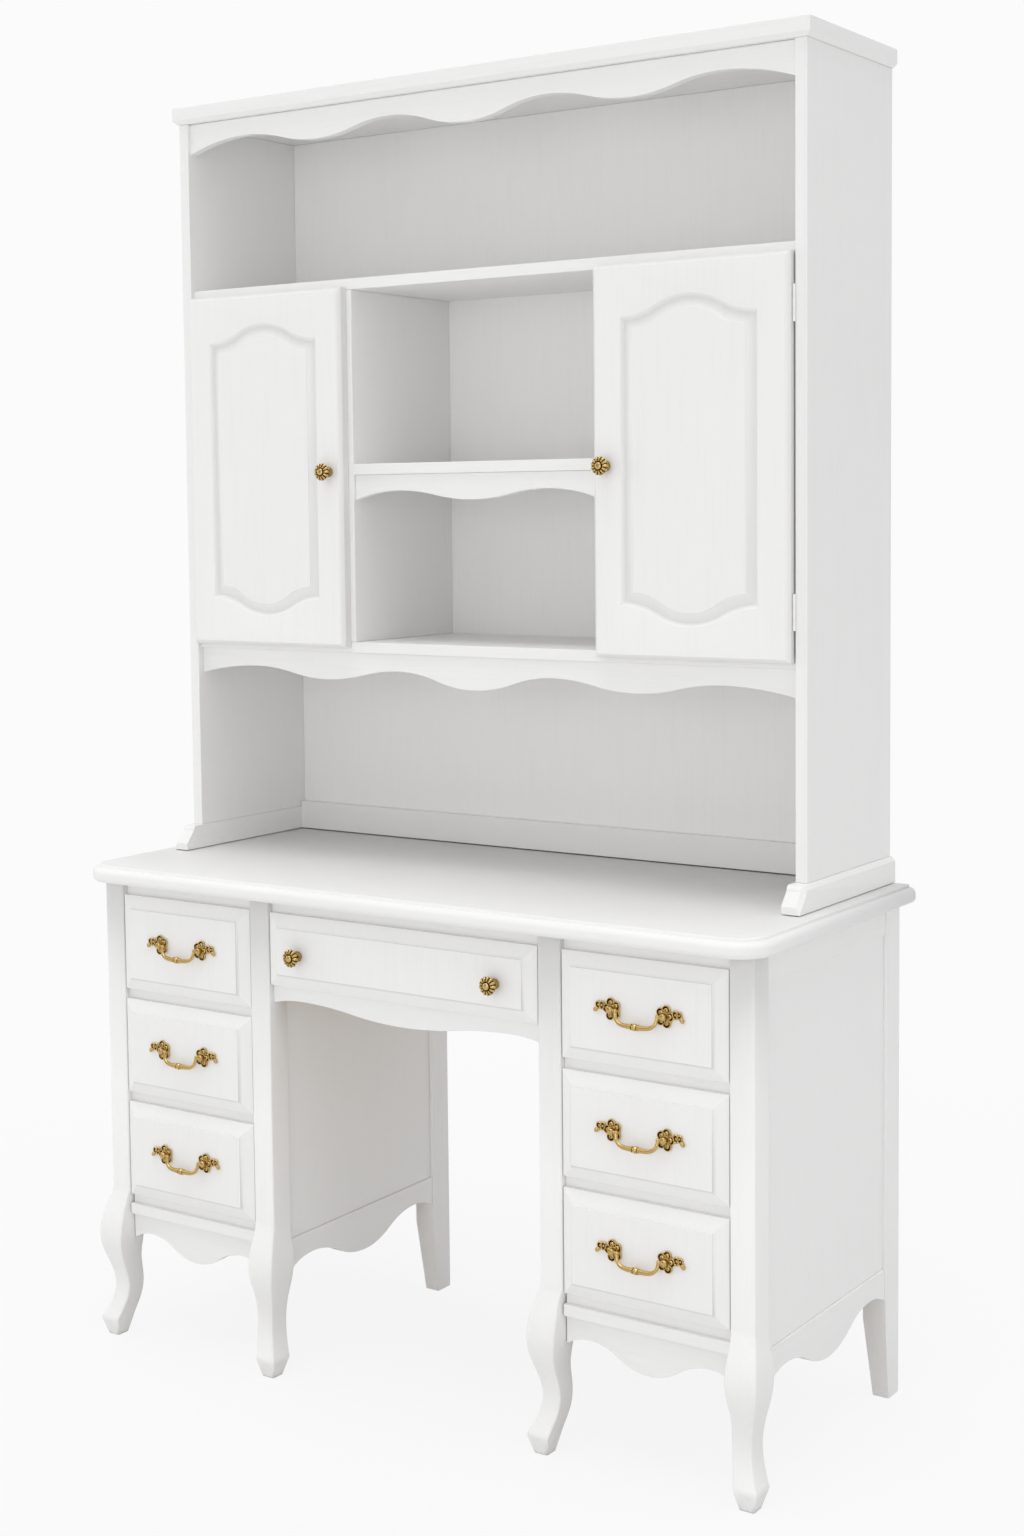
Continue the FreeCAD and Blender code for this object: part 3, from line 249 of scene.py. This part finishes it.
def ramp(tree, source, stops):
    """A colour ramp with (place, colour) stops."""
    node = tree.nodes.new("ShaderNodeValToRGB")
    band = node.color_ramp
    while len(band.elements) < len(stops):
        band.elements.new(0.5)
    for element, (place, colour) in zip(band.elements, stops):
        element.position = place
        element.color = (*colour, 1)
    tree.links.new(source, node.inputs["Fac"])
    return node.outputs["Color"]


def between(tree, source, low, high):
    """Map the usual span of a noise to a range of values."""
    node = tree.nodes.new("ShaderNodeMapRange")
    node.inputs["From Min"].default_value = NOISE_LOW
    node.inputs["From Max"].default_value = NOISE_HIGH
    node.inputs["To Min"].default_value = low
    node.inputs["To Max"].default_value = high
    tree.links.new(source, node.inputs["Value"])
    return node.outputs["Result"]


def bumped(tree, surface, heights):
    """Chain bumps of (source, depth in metres) onto a surface."""
    normal = None
    for source, depth in heights:
        node = tree.nodes.new("ShaderNodeBump")
        node.inputs["Strength"].default_value = 1.0
        node.inputs["Distance"].default_value = depth
        tree.links.new(source, node.inputs["Height"])
        if normal:
            tree.links.new(normal, node.inputs["Normal"])
        normal = node.outputs["Normal"]
    tree.links.new(normal, surface.inputs["Normal"])


# %% [markdown]
# The paint is a satin white with a trace of warm grey. Under it the timber's grain still telegraphs
# through as faint streaks along each board, which the photograph shows on the doors and the sides. The
# streaks run upright on posts, panels and drawer fronts and level on rails and shelves, so the paint is made
# once for each direction, and once more for the thin back sheet, which is smoother, and which is made a shade
# whiter as painted light, to brighten it where it lies in the shade of the hutch. The paint is also darkened
# where a stored attribute says so: painted shade in routed hollows and under raised fields.

# %% Satin white paint
PAINT_LIGHT = (0.872, 0.866, 0.853)
PAINT_SHADE = (0.858, 0.852, 0.839)
PAINTED_SHADE_SHARE = 0.11
GRAIN_DRAWN_OUT = 0.035
STREAK_DEPTH, PEEL_DEPTH = 0.03 * MM, 0.01 * MM


def satin_paint(name, along, tone=1.0):
    """White paint whose grain runs along axis 0, 1 or 2."""
    material, tree, surface = new_finish(name)
    light = [tone * v for v in PAINT_LIGHT]
    shade = [tone * v for v in PAINT_SHADE]
    grain_stretch = [1.0, 1.0, 1.0]
    grain_stretch[along] = GRAIN_DRAWN_OUT
    streaks = stretched_noise(tree, 260.0, grain_stretch, detail=4.0)
    clouds = stretched_noise(tree, 5.0, EVEN, detail=2.0)
    peel = stretched_noise(tree, 900.0, EVEN, detail=1.0)
    colour = ramp(tree, streaks, [(0.34, shade), (0.5, light), (0.75, light)])
    # Painted shade: the stored attribute darkens the paint in routed hollows and under raised fields, where shadow
    # falls.
    hollow = tree.nodes.new("ShaderNodeAttribute")
    hollow.attribute_name = "hollow"
    shade_factor = tree.nodes.new("ShaderNodeMath")
    shade_factor.operation = "MULTIPLY_ADD"
    shade_factor.inputs[1].default_value = -PAINTED_SHADE_SHARE
    shade_factor.inputs[2].default_value = 1.0
    painted_shade_colour = tree.nodes.new("ShaderNodeVectorMath")
    painted_shade_colour.operation = "SCALE"
    tree.links.new(hollow.outputs["Fac"], shade_factor.inputs[0])
    tree.links.new(colour, painted_shade_colour.inputs[0])
    tree.links.new(shade_factor.outputs[0], painted_shade_colour.inputs["Scale"])
    tree.links.new(painted_shade_colour.outputs[0], surface.inputs["Base Color"])
    tree.links.new(between(tree, clouds, 0.46, 0.56), surface.inputs["Roughness"])
    surface.inputs["Specular IOR Level"].default_value = 0.32
    bumped(tree, surface, [(streaks, STREAK_DEPTH), (peel, PEEL_DEPTH)])
    return material


paint_upright = satin_paint("satin_white_upright", 2)
paint_level = satin_paint("satin_white_level", 0)
paint_deep = satin_paint("satin_white_deep", 1)
# Painted light: the back sheet's paint is made a shade whiter to brighten it in the shade of the hutch.
paint_back_brightened = satin_paint("satin_white_back_brightened", 2, tone=1.05)
print("paints", paint_upright.name, paint_level.name, paint_deep.name, paint_back_brightened.name)

# %% [markdown]
# The drawer boxes and runners are pale birch under clear lacquer. Growth rings are slow bands across the
# board, broken by fine dark pores that run with them. Most boards run from front to back, and the back of a
# box runs across, so there are two.

# %% Bare birch
BIRCH_PALE = (0.66, 0.49, 0.30)
BIRCH_MID = (0.56, 0.39, 0.22)
BIRCH_DARK = (0.42, 0.27, 0.14)
RINGS_DRAWN_OUT, PORES_DRAWN_OUT = 0.05, 0.03
PORE_DEPTH = 0.06 * MM


def bare_birch(name, along):
    """Birch whose grain runs along axis 0, 1 or 2."""
    material, tree, surface = new_finish(name)
    ring_stretch, pore_stretch = [1.0, 1.0, 1.0], [1.0, 1.0, 1.0]
    ring_stretch[along], pore_stretch[along] = RINGS_DRAWN_OUT, PORES_DRAWN_OUT
    rings = stretched_noise(tree, 42.0, ring_stretch, detail=5.0, roughness=0.6)
    pores = stretched_noise(tree, 420.0, pore_stretch, detail=2.0)
    tree.links.new(ramp(tree, rings, [(0.3, BIRCH_DARK), (0.47, BIRCH_MID), (0.62, BIRCH_PALE)]),
                   surface.inputs["Base Color"])
    tree.links.new(between(tree, pores, 0.38, 0.6), surface.inputs["Roughness"])
    bumped(tree, surface, [(pores, PORE_DEPTH)])
    return material


birch_deep = bare_birch("bare_birch_deep", 1)
birch_across = bare_birch("bare_birch_across", 0)
print("woods", birch_deep.name, birch_across.name)

# %% [markdown]
# The pulls are cast brass with an antique finish: the hollows hold a dark patina, and the high places are
# rubbed back to gold. A shader can't know what is high on a small casting, so each mesh stores it. The
# attribute "hollow" is worked out from the shape: how far a point sits below the average of its neighbours,
# how near it is to the drawer front, and on a knob how deep it lies in a flute.

# %% Antique brass
BRASS_BRIGHT = (0.62, 0.43, 0.16)
BRASS_BODY = (0.24, 0.153, 0.047)
BRASS_PATINA = (0.032, 0.016, 0.005)
MOTTLE_SHARE, MOTTLE_DEPTH = 0.22, 0.06 * MM
brass, tree, surface = new_finish("waxed_antique_brass")
hollow = tree.nodes.new("ShaderNodeAttribute")
hollow.attribute_name = "hollow"
mottle = stretched_noise(tree, 240.0, EVEN, detail=4.0)
uneven = tree.nodes.new("ShaderNodeMath")
uneven.operation = "MULTIPLY_ADD"
uneven.inputs[1].default_value = MOTTLE_SHARE
tree.links.new(mottle, uneven.inputs[0])
tree.links.new(hollow.outputs["Fac"], uneven.inputs[2])
tree.links.new(ramp(tree, uneven.outputs[0],
                    [(0.30, BRASS_BRIGHT), (0.58, BRASS_BODY), (0.86, BRASS_PATINA)]),
               surface.inputs["Base Color"])
surface.inputs["Metallic"].default_value = 1.0
tree.links.new(between(tree, mottle, 0.20, 0.34), surface.inputs["Roughness"])
bumped(tree, surface, [(mottle, MOTTLE_DEPTH)])
print("metal", brass.name)

# %% [markdown]
# ## Boards
# A saw leaves an edge as sharp as the CAD draws it, but paint and sandpaper don't. Each painted node is
# copied, its loose triangles are merged back into whole faces, and a narrow bevel rounds the arrises, so
# that every board catches a thin line of light. The copy stands for the node, which stays for collision.

# %% Ease the boards
SHARP_TURN = math.radians(30)
FLAT_TURN = math.radians(0.4)
WELD = 2e-6
BODY_OF = {name: body for body, names in frame["record"]["behaviour"]["bodies"].items() for name in names}


def merged_copy(node, whole_faces=True):
    """The node's mesh with its triangles joined again."""
    shape = bmesh.new()
    shape.from_mesh(nodes[node].data)
    bmesh.ops.remove_doubles(shape, verts=shape.verts, dist=WELD)
    if whole_faces:
        bmesh.ops.dissolve_limit(shape, angle_limit=FLAT_TURN, verts=shape.verts, edges=shape.edges)
    return shape


def finished(shape, name, finish, node):
    """Put a bmesh into the scene as the piece that stands for a node."""
    mesh = bpy.data.meshes.new(name)
    shape.to_mesh(mesh)
    shape.free()
    mesh.polygons.foreach_set("use_smooth", [True] * len(mesh.polygons))
    mesh.set_sharp_from_angle(angle=SHARP_TURN)
    mesh.materials.append(finish)
    piece = bpy.data.objects.new(name, mesh)
    scene.collection.objects.link(piece)
    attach(piece, BODY_OF[node])
    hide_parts(node)
    return piece


def eased(shape, node, finish, width):
    """The copy of a node with softened arrises."""
    piece = finished(shape, f"{node}_finished", finish, node)
    soft = piece.modifiers.new("soft_arris", "BEVEL")
    soft.width = width
    soft.segments = 2
    soft.limit_method = "ANGLE"
    soft.angle_limit = SHARP_TURN
    soft.harden_normals = True
    return piece


DRAWERS = [f"{side}_{level}" for side in ("left", "right") for level in ("top", "middle", "bottom")]
UPRIGHT = ["rear_legs", "side_panels", "hutch_sides", "cupboard_dividers", "desk_backs"]
LEVEL = ["drawer_rails", "front_aprons", "base_strips", "kneehole_apron", "hutch_crown", "upper_shelf",
         "middle_shelf", "lower_shelf", "middle_valance", "lower_valance"]
DEEP = ["side_rails", "side_aprons"]
BACK = ["hutch_back"]
COATS = ((UPRIGHT, paint_upright), (LEVEL, paint_level), (DEEP, paint_deep), (BACK, paint_back_brightened))
BOARD_ARRIS = 1.1 * MM
FACES_FRONT = 0.9
for names, finish in COATS:
    for node in names:
        eased(merged_copy(node), node, finish, BOARD_ARRIS)
for node in ["drawer_runners", "centre_drawer_box"] + [f"{drawer}_drawer_box" for drawer in DRAWERS]:
    piece = eased(merged_copy(node), node, birch_deep, BOARD_ARRIS)
    piece.data.materials.append(birch_across)
    for face in piece.data.polygons:
        face.material_index = int(abs(face.normal.y) > FACES_FRONT)
print("eased boards", sum(len(names) for names, finish in COATS))

# %% [markdown]
# Doors and drawer fronts are cut by a router, so their arrises are much crisper than a sanded board's. Their
# copies also store painted shade: all down the sunk moulding of a door, and round the foot of a drawer's
# raised field, most of all under its lower edge, where the step shades the bevel. To keep the line narrow, each
# mitre of the bevel is split near the field and the new points are joined round.

# %% Ease the doors and the drawer fronts
ROUTED_ARRIS = 0.45 * MM
DOOR_SINK, FIELD_STEP = 6 * MM, 2 * MM
STEP_SLACK = 0.2 * MM
# Painted shade at the foot of a drawer's raised field: a faint line above, a heavier one under its lower edge.
LINE_WIDE, UPPER_SHADE, LOWER_SHADE = 4.5 * MM, 0.3, 1.9


def routed_copy(node):
    """A merged copy with a layer for its painted shade, and the level of its front."""
    shape = merged_copy(node)
    return shape, shape.verts.layers.float.new("hollow"), min(v.co.y for v in shape.verts)


DOORS = ["left_door", "right_door"]
FRONTS = ["centre_drawer_front"] + [f"{drawer}_drawer_front" for drawer in DRAWERS]
for node in DOORS:
    shape, shade_layer, front = routed_copy(node)
    # Painted shade, growing towards the bottom of the door's sunk moulding.
    for v in shape.verts:
        v[shade_layer] = min((v.co.y - front) / DOOR_SINK, 1)
    eased(shape, node, paint_upright, ROUTED_ARRIS)
for node in FRONTS:
    shape, shade_layer, front = routed_copy(node)
    foot = [v for v in shape.verts if abs(v.co.y - front - FIELD_STEP) < STEP_SLACK]
    ring = []
    for v in foot:
        mitre = max(v.link_edges, key=lambda e: e.other_vert(v).co.y)
        share = math.sqrt(2) * LINE_WIDE / mitre.calc_length()
        ring.append(bmesh.utils.edge_split(mitre, v, share)[1])
    bmesh.ops.connect_verts(shape, verts=ring)
    middle = sum(v.co.z for v in foot) / len(foot)
    for v, inner in zip(ring, foot):
        # Painted shade along the foot of the field, heavier on its lower side.
        v[shade_layer], inner[shade_layer] = 0.0, LOWER_SHADE if inner.co.z < middle else UPPER_SHADE
    eased(shape, node, paint_upright, ROUTED_ARRIS)
print("routed fronts", len(DOORS + FRONTS), "corners of a field", len(ring))

# %% [markdown]
# The hutch is a separate piece that only stands on the desk, and the photograph shows the seam as a thin
# dark line. Another runs where the top valance meets the crown. Both are cut as a joiner would: a shallow
# rebate round the face that touches, so that the shadow comes from a real gap.

# %% Cut the seams under the hutch and the crown
SEAM_ARRIS, FLUSH = 0.6 * MM, 0.1 * MM


def cut_seam(node, way, gap, deep, finish):
    """Draw back the rim of the faces of a node that lie lowest (way -1) or highest (way 1)."""
    shape = merged_copy(node)
    level = max(way * v.co.z for v in shape.verts)
    faces = [f for f in shape.faces if all(abs(way * v.co.z - level) < FLUSH for v in f.verts)]
    rim = {v for f in faces for v in f.verts}
    bmesh.ops.inset_individual(shape, faces=faces, thickness=deep, depth=0, use_even_offset=True)
    for v in rim:
        v.co.z -= way * gap
    eased(shape, node, finish, SEAM_ARRIS)
    print("seam", node, len(faces), "faces")


cut_seam("hutch_plinth", -1, 1.5 * MM, 6 * MM, paint_deep)
cut_seam("top_valance", 1, 2.0 * MM, 2.2 * MM, paint_level)

# %% [markdown]
# The legs and the top are already rounded in the CAD, so they only need smooth shading. Their facets are
# left as they are, because merging them would spoil the long curves. The painted hinges are too small for
# eased edges.

# %% Smooth the legs, the top and the hinges
LEGS = ["left_outer_leg", "left_inner_leg", "right_inner_leg", "right_outer_leg"]
HINGES = ["case_hinges", "left_door_hinges", "right_door_hinges"]
for node in LEGS:
    finished(merged_copy(node, whole_faces=False), f"{node}_finished", paint_upright, node)
top = merged_copy("desk_top", whole_faces=False)
finished(top, "desk_top_finished", paint_level, "desk_top")
for node in HINGES:
    finished(merged_copy(node), f"{node}_finished", paint_upright, node)
print("legs", len(LEGS), "top 1, hinges", len(HINGES))

# %% [markdown]
# ## Cast brass
# The pulls are in the French country taste: a flower at each end, curls and a bud beyond it, and a swan-neck
# bail between. Each flower is built from one idea, a stack of rings: a circle is extruded again and again,
# and each new ring is drawn in or out and lifted. A few rings make a petal with a rolled rim and a raised
# middle, and others make the post or the bud. The castings are modelled in millimetres, with u to the
# right, v up and w out of the drawer front, and then set into the frame.

# %% Ring stacks
# How much patina a plain point has, and what being sunk, low or carved adds.
PLAIN, SUNK, LOW, CARVED = 0.22, 2.2, 0.46, 0.6


def ring_stack(shape, rings, sides, oval=(1, 1), turn=0.0, centre=(0, 0)):
    """Extrude a circle through (radius, height) rings, close the top and set it as a turned oval."""
    made = list(bmesh.ops.create_circle(shape, segments=sides, radius=rings[0][0])["verts"])
    bmesh.ops.translate(shape, verts=made, vec=(0, 0, rings[0][1]))
    loop = made[:]
    for (radius, height), (next_radius, next_height) in zip(rings, rings[1:]):
        ring = set(loop)
        edges = [e for e in shape.edges if e.verts[0] in ring and e.verts[1] in ring]
        grown = bmesh.ops.extrude_edge_only(shape, edges=edges)["geom"]
        loop = [item for item in grown if isinstance(item, bmesh.types.BMVert)]
        ratio = next_radius / radius
        bmesh.ops.scale(shape, verts=loop, vec=(ratio, ratio, 1))
        bmesh.ops.translate(shape, verts=loop, vec=(0, 0, next_height - height))
        made += loop
    tip = Vector((0, 0, rings[-1][1]))
    bmesh.ops.pointmerge(shape, verts=loop, merge_co=tip)
    made = [v for v in made if v.is_valid]
    place = Matrix.Translation((*centre, 0)) @ Matrix.Rotation(turn, 4, "Z")
    place @= Matrix.Diagonal((*oval, 1, 1))
    bmesh.ops.transform(shape, matrix=place, verts=made)
    return made


def casting_place(x, y, z, mirror=1):
    """From casting millimetres (u, v, w) to the frame."""
    turn = Matrix(((mirror, 0, 0, 0), (0, 0, -1, 0), (0, 1, 0, 0), (0, 0, 0, 1)))
    return Matrix.Translation((x, y, z)) @ turn @ Matrix.Scale(MM, 4)


def mark_hollows(mesh, depth_below):
    """Store how hollow each point is: sunk under its neighbours, low on the casting or carved."""
    shape = bmesh.new()
    shape.from_mesh(mesh)
    shape.normal_update()
    values = []
    for v in shape.verts:
        around = [e.other_vert(v).co for e in v.link_edges]
        step = sum((p - v.co).length for p in around) / len(around)
        sunk = (sum(around, Vector()) / len(around) - v.co).dot(v.normal) / step
        values.append(PLAIN + SUNK * sunk + LOW * depth_below(v.co))
    if carved := shape.verts.layers.float.get("carved"):
        values = [value + CARVED * v[carved] for value, v in zip(values, shape.verts)]
    values = [min(max(value, 0), 1) for value in values]
    shape.free()
    layer = mesh.attributes.new("hollow", "FLOAT", "POINT")
    layer.data.foreach_set("value", values)


def cast_piece(shape, node, depth_below):
    """Turn a bmesh into the brass piece that stands for a node."""
    bmesh.ops.recalc_face_normals(shape, faces=shape.faces)
    piece = finished(shape, f"{node}_cast", brass, node)
    mark_hollows(piece.data, depth_below)
    smooth = piece.modifiers.new("smooth_casting", "SUBSURF")
    smooth.levels = 1
    smooth.render_levels = 1


# %% [markdown]
# A flower has five broad petals round a post, on an upright oval. The petals overlap, as they do in a
# casting, and each has a rim, a groove and a raised middle. Beyond the flower a bow of two curls and a
# drooping bud point away from the middle of the pull.

# %% Flowers of the pulls
PULL_HALF_SPAN = 41
PETALS = 5
FIRST_PETAL = math.radians(75)
FLOWER_WIDE, FLOWER_HIGH = 7.4, 9.2
PETAL_OVAL = (1.0, 0.96)
PULL_DEEP = 9 * MM
PETAL_RINGS = [(5.6, 0.2), (6.8, 1.2), (7.0, 2.6), (6.5, 3.8), (5.8, 4.0), (5.1, 2.7), (4.5, 1.6),
               (3.9, 2.3), (3.2, 3.6), (2.5, 4.2), (1.8, 4.4), (1.0, 4.4), (0.3, 4.3)]
CURL_RINGS = [(4.2, 0.2), (5.4, 1.4), (5.4, 2.9), (4.7, 3.9), (3.8, 3.7), (3.0, 2.2), (2.3, 1.8),
              (1.3, 3.0), (0.4, 3.5)]
BUD_RINGS = [(1.6, 0.2), (2.7, 1.0), (3.1, 2.4), (2.8, 3.8), (1.7, 4.8), (0.6, 5.1)]
POST_RINGS = [(6.4, 1.0), (6.6, 2.8), (5.4, 3.8), (4.4, 4.4), (4.3, 5.2), (4.8, 6.2), (5.1, 7.4),
              (5.1, 9.4), (4.6, 10.8), (3.7, 11.6), (2.8, 11.7), (2.0, 12.0), (1.0, 12.1)]
BACK_RINGS = [(11.0, 0.05), (11.4, 1.0), (9.6, 2.2), (4.0, 2.6)]
# Two curls and a bud: rings, sides, oval, turn in degrees and centre.
SPRAY = [(CURL_RINGS, 14, (0.9, 1.25), 12, (15.8, 3.8)), (CURL_RINGS, 14, (0.85, 1.1), -16, (21.6, 3.8)),
         (BUD_RINGS, 12, (1.45, 1.05), -56, (25.8, -2.4))]


def flower(shape, place):
    """One end of a pull, built in casting millimetres and set into the frame."""
    made = ring_stack(shape, BACK_RINGS, 24)
    for n in range(PETALS):
        turn = FIRST_PETAL + n * math.tau / PETALS
        middle = (FLOWER_WIDE * math.cos(turn), FLOWER_HIGH * math.sin(turn))
        made += ring_stack(shape, PETAL_RINGS, 16, oval=PETAL_OVAL, turn=turn, centre=middle)
    for rings, sides, oval, degrees, centre in SPRAY:
        made += ring_stack(shape, rings, sides, oval=oval, turn=math.radians(degrees), centre=centre)
    made += ring_stack(shape, POST_RINGS, 20)
    bmesh.ops.transform(shape, matrix=place, verts=made)


for drawer in DRAWERS:
    low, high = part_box(f"{drawer}_pull_plates")
    middle, face, level = (low.x + high.x) / 2, high.y, (low.z + high.z) / 2
    shape = bmesh.new()
    for mirror in (-1, 1):
        x = middle + mirror * PULL_HALF_SPAN * MM
        flower(shape, casting_place(x, face, level, mirror))
    cast_piece(shape, f"{drawer}_pull_plates", lambda co, face=face: 1 - min((face - co.y) / PULL_DEEP, 1))
print("flowers", 2 * len(DRAWERS))

# %% [markdown]
# The bail is a wire that swells towards its middle, so a curve with a radius at each point suits it better
# than a plain extrusion. It runs from the pins in the posts, turns down beside them and sweeps through a
# wide U that leans out, to leave room for the fingers. Two collars and a bead sit at the lowest place,
# turned as a ring stack about the wire, and a ball rounds off each shoulder.

# %% Bails
WIRE_RADIUS = 2.9
BAIL_DROP = 18
BAIL_LEAN = math.radians(13)
BAIL_SHADE = 0.2
BAIL_ROUTE = [(42.5, 0.0, 0.80), (38.2, 0.0, 0.80), (34.4, 0.4, 0.86), (32.4, -2.0, 0.90),
              (32.0, -7.2, 0.90), (29.2, -13.2, 0.96), (22.2, -17.4, 1.08), (13.5, -18.0, 1.20),
              (6.0, -18.0, 1.28), (0.0, -18.0, 1.28)]
BEAD_RINGS = [(3.4, -6.2), (4.4, -5.8), (4.5, -4.8), (3.6, -4.0), (4.3, -2.8), (5.2, -1.0), (5.2, 1.0),
              (4.3, 2.8), (3.6, 4.0), (4.5, 4.8), (4.4, 5.8), (3.4, 6.2)]
BALL_RINGS = [(1.4, -3.1), (2.7, -2.0), (3.4, 0.0), (2.7, 2.0), (1.4, 3.1)]
BALL_ALONG, BALL_UP = 32.5, -0.4


def wire_mesh(route):
    """A round wire along (u, v, share of the radius) points, as a mesh in casting millimetres."""
    curve = bpy.data.curves.new("wire", "CURVE")
    curve.dimensions = "3D"
    curve.bevel_depth = WIRE_RADIUS
    curve.bevel_resolution = 4
    curve.resolution_u = 6
    curve.use_fill_caps = True
    spline = curve.splines.new("NURBS")
    spline.points.add(len(route) - 1)
    for point, (u, v, share) in zip(spline.points, route):
        point.co = (u, v, 0, 1)
        point.radius = share
    spline.order_u = 4
    spline.use_endpoint_u = True
    holder = bpy.data.objects.new("wire", curve)
    mesh = bpy.data.meshes.new_from_object(holder)
    bpy.data.objects.remove(holder)
    bpy.data.curves.remove(curve)
    return mesh


whole_route = BAIL_ROUTE + [(-u, v, share) for u, v, share in reversed(BAIL_ROUTE[:-1])]
wire = wire_mesh(whole_route)
for drawer in DRAWERS:
    joint = next(j for j in frame["joints"] if j["name"] == f"{drawer}_bail_pivot")
    place = casting_place(*joint["pos_m"]) @ Matrix.Rotation(-BAIL_LEAN, 4, "X")
    shape = bmesh.new()
    shape.from_mesh(wire)
    bead = ring_stack(shape, BEAD_RINGS, 20)
    across = Matrix.Translation((0, -BAIL_DROP, 0)) @ Matrix.Rotation(math.radians(90), 4, "Y")
    bmesh.ops.transform(shape, matrix=across, verts=bead)
    for u in (-BALL_ALONG, BALL_ALONG):
        ball = ring_stack(shape, BALL_RINGS, 14)
        bmesh.ops.translate(shape, verts=ball, vec=(u, BALL_UP, 0))
    bmesh.ops.transform(shape, matrix=place, verts=shape.verts)
    cast_piece(shape, f"{drawer}_bail", lambda co: BAIL_SHADE)
bpy.data.meshes.remove(wire)
print("bails", len(DRAWERS), "wire", 2 * WIRE_RADIUS, "mm")

# %% [markdown]
# A knob is turned: a profile is spun round its axis. The head is then fluted like a flower, by drawing in
# the surface between the ribs, which a lathe can't do but a mould can. The button in the middle stays plain.
# The layer "carved" notes where the flutes and the ring round the button hold dark wax, and that the button
# is rubbed bright.

# %% Knobs
KNOB_PROFILE = [(0.0, 0.0), (7.4, 0.0), (8.2, 1.6), (8.0, 4.4), (6.8, 6.8), (5.0, 8.6), (4.4, 10.6),
                (5.0, 12.4), (8.6, 14.0), (12.4, 16.0), (13.8, 17.8), (13.9, 19.4), (12.7, 21.4),
                (10.4, 22.8), (8.1, 23.2), (6.6, 22.4), (5.9, 21.6), (5.6, 22.6), (4.8, 24.0),
                (3.0, 24.8), (0.0, 25.0)]
KNOB_RIBS = 13
STEPS_A_RIB = 6
FLUTE_DEPTH, FLUTE_DROP = 1.4, 0.8
HEAD_FOOT, HEAD_TALL, HEAD_INNER = 13.5, 10, 7.2
BUTTON_FOOT, BUTTON_EDGE = 21, 5.3
RING_WAX, BUTTON_WAX = 1.0, -0.6
KNOB_LOW, KNOB_DEEP = 1.35, 22 * MM
SEAM_WELD = 1e-4


def knob(shape, place):
    """A fluted knob, built in casting millimetres and set into the frame."""
    carved = shape.verts.layers.float.get("carved") or shape.verts.layers.float.new("carved")
    profile = [shape.verts.new((r, 0, w)) for r, w in KNOB_PROFILE]
    edges = [shape.edges.new(pair) for pair in zip(profile, profile[1:])]
    before = set(shape.verts) - set(profile)
    bmesh.ops.spin(shape, geom=profile + edges, cent=(0, 0, 0), axis=(0, 0, 1), angle=math.tau,
                   steps=KNOB_RIBS * STEPS_A_RIB, use_merge=True)
    made = [v for v in shape.verts if v not in before]
    bmesh.ops.remove_doubles(shape, verts=made, dist=SEAM_WELD)
    made = [v for v in shape.verts if v not in before]
    for v in made:
        radius = math.hypot(v.co.x, v.co.y)
        if v.co.z > HEAD_FOOT and radius > HEAD_INNER:
            valley = (0.5 - 0.5 * math.cos(KNOB_RIBS * math.atan2(v.co.y, v.co.x))) ** 2
            share = 1 - FLUTE_DEPTH * valley / radius
            v.co.x, v.co.y = v.co.x * share, v.co.y * share
            v.co.z -= FLUTE_DROP * FLUTE_DEPTH * valley * (v.co.z - HEAD_FOOT) / HEAD_TALL
            v[carved] = valley
        elif v.co.z > BUTTON_FOOT:
            v[carved] = RING_WAX if radius > BUTTON_EDGE else BUTTON_WAX
    bmesh.ops.transform(shape, matrix=place, verts=made)


def knob_places(node):
    """Where the knobs of a node stand on the face behind them."""
    low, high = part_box(node)
    size = high.z - low.z
    level = (low.z + high.z) / 2
    ends = [low.x + size / 2] if high.x - low.x < 1.5 * size else [low.x + size / 2, high.x - size / 2]
    return [casting_place(x, high.y, level) for x in ends]


for node in ("centre_drawer_knobs", "left_door_knob", "right_door_knob"):
    shape = bmesh.new()
    for place in knob_places(node):
        knob(shape, place)
    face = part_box(node)[1].y
    cast_piece(shape, node, lambda co, face=face: KNOB_LOW - min((face - co.y) / KNOB_DEEP, 1))
print("knobs", KNOB_RIBS, "ribs each")
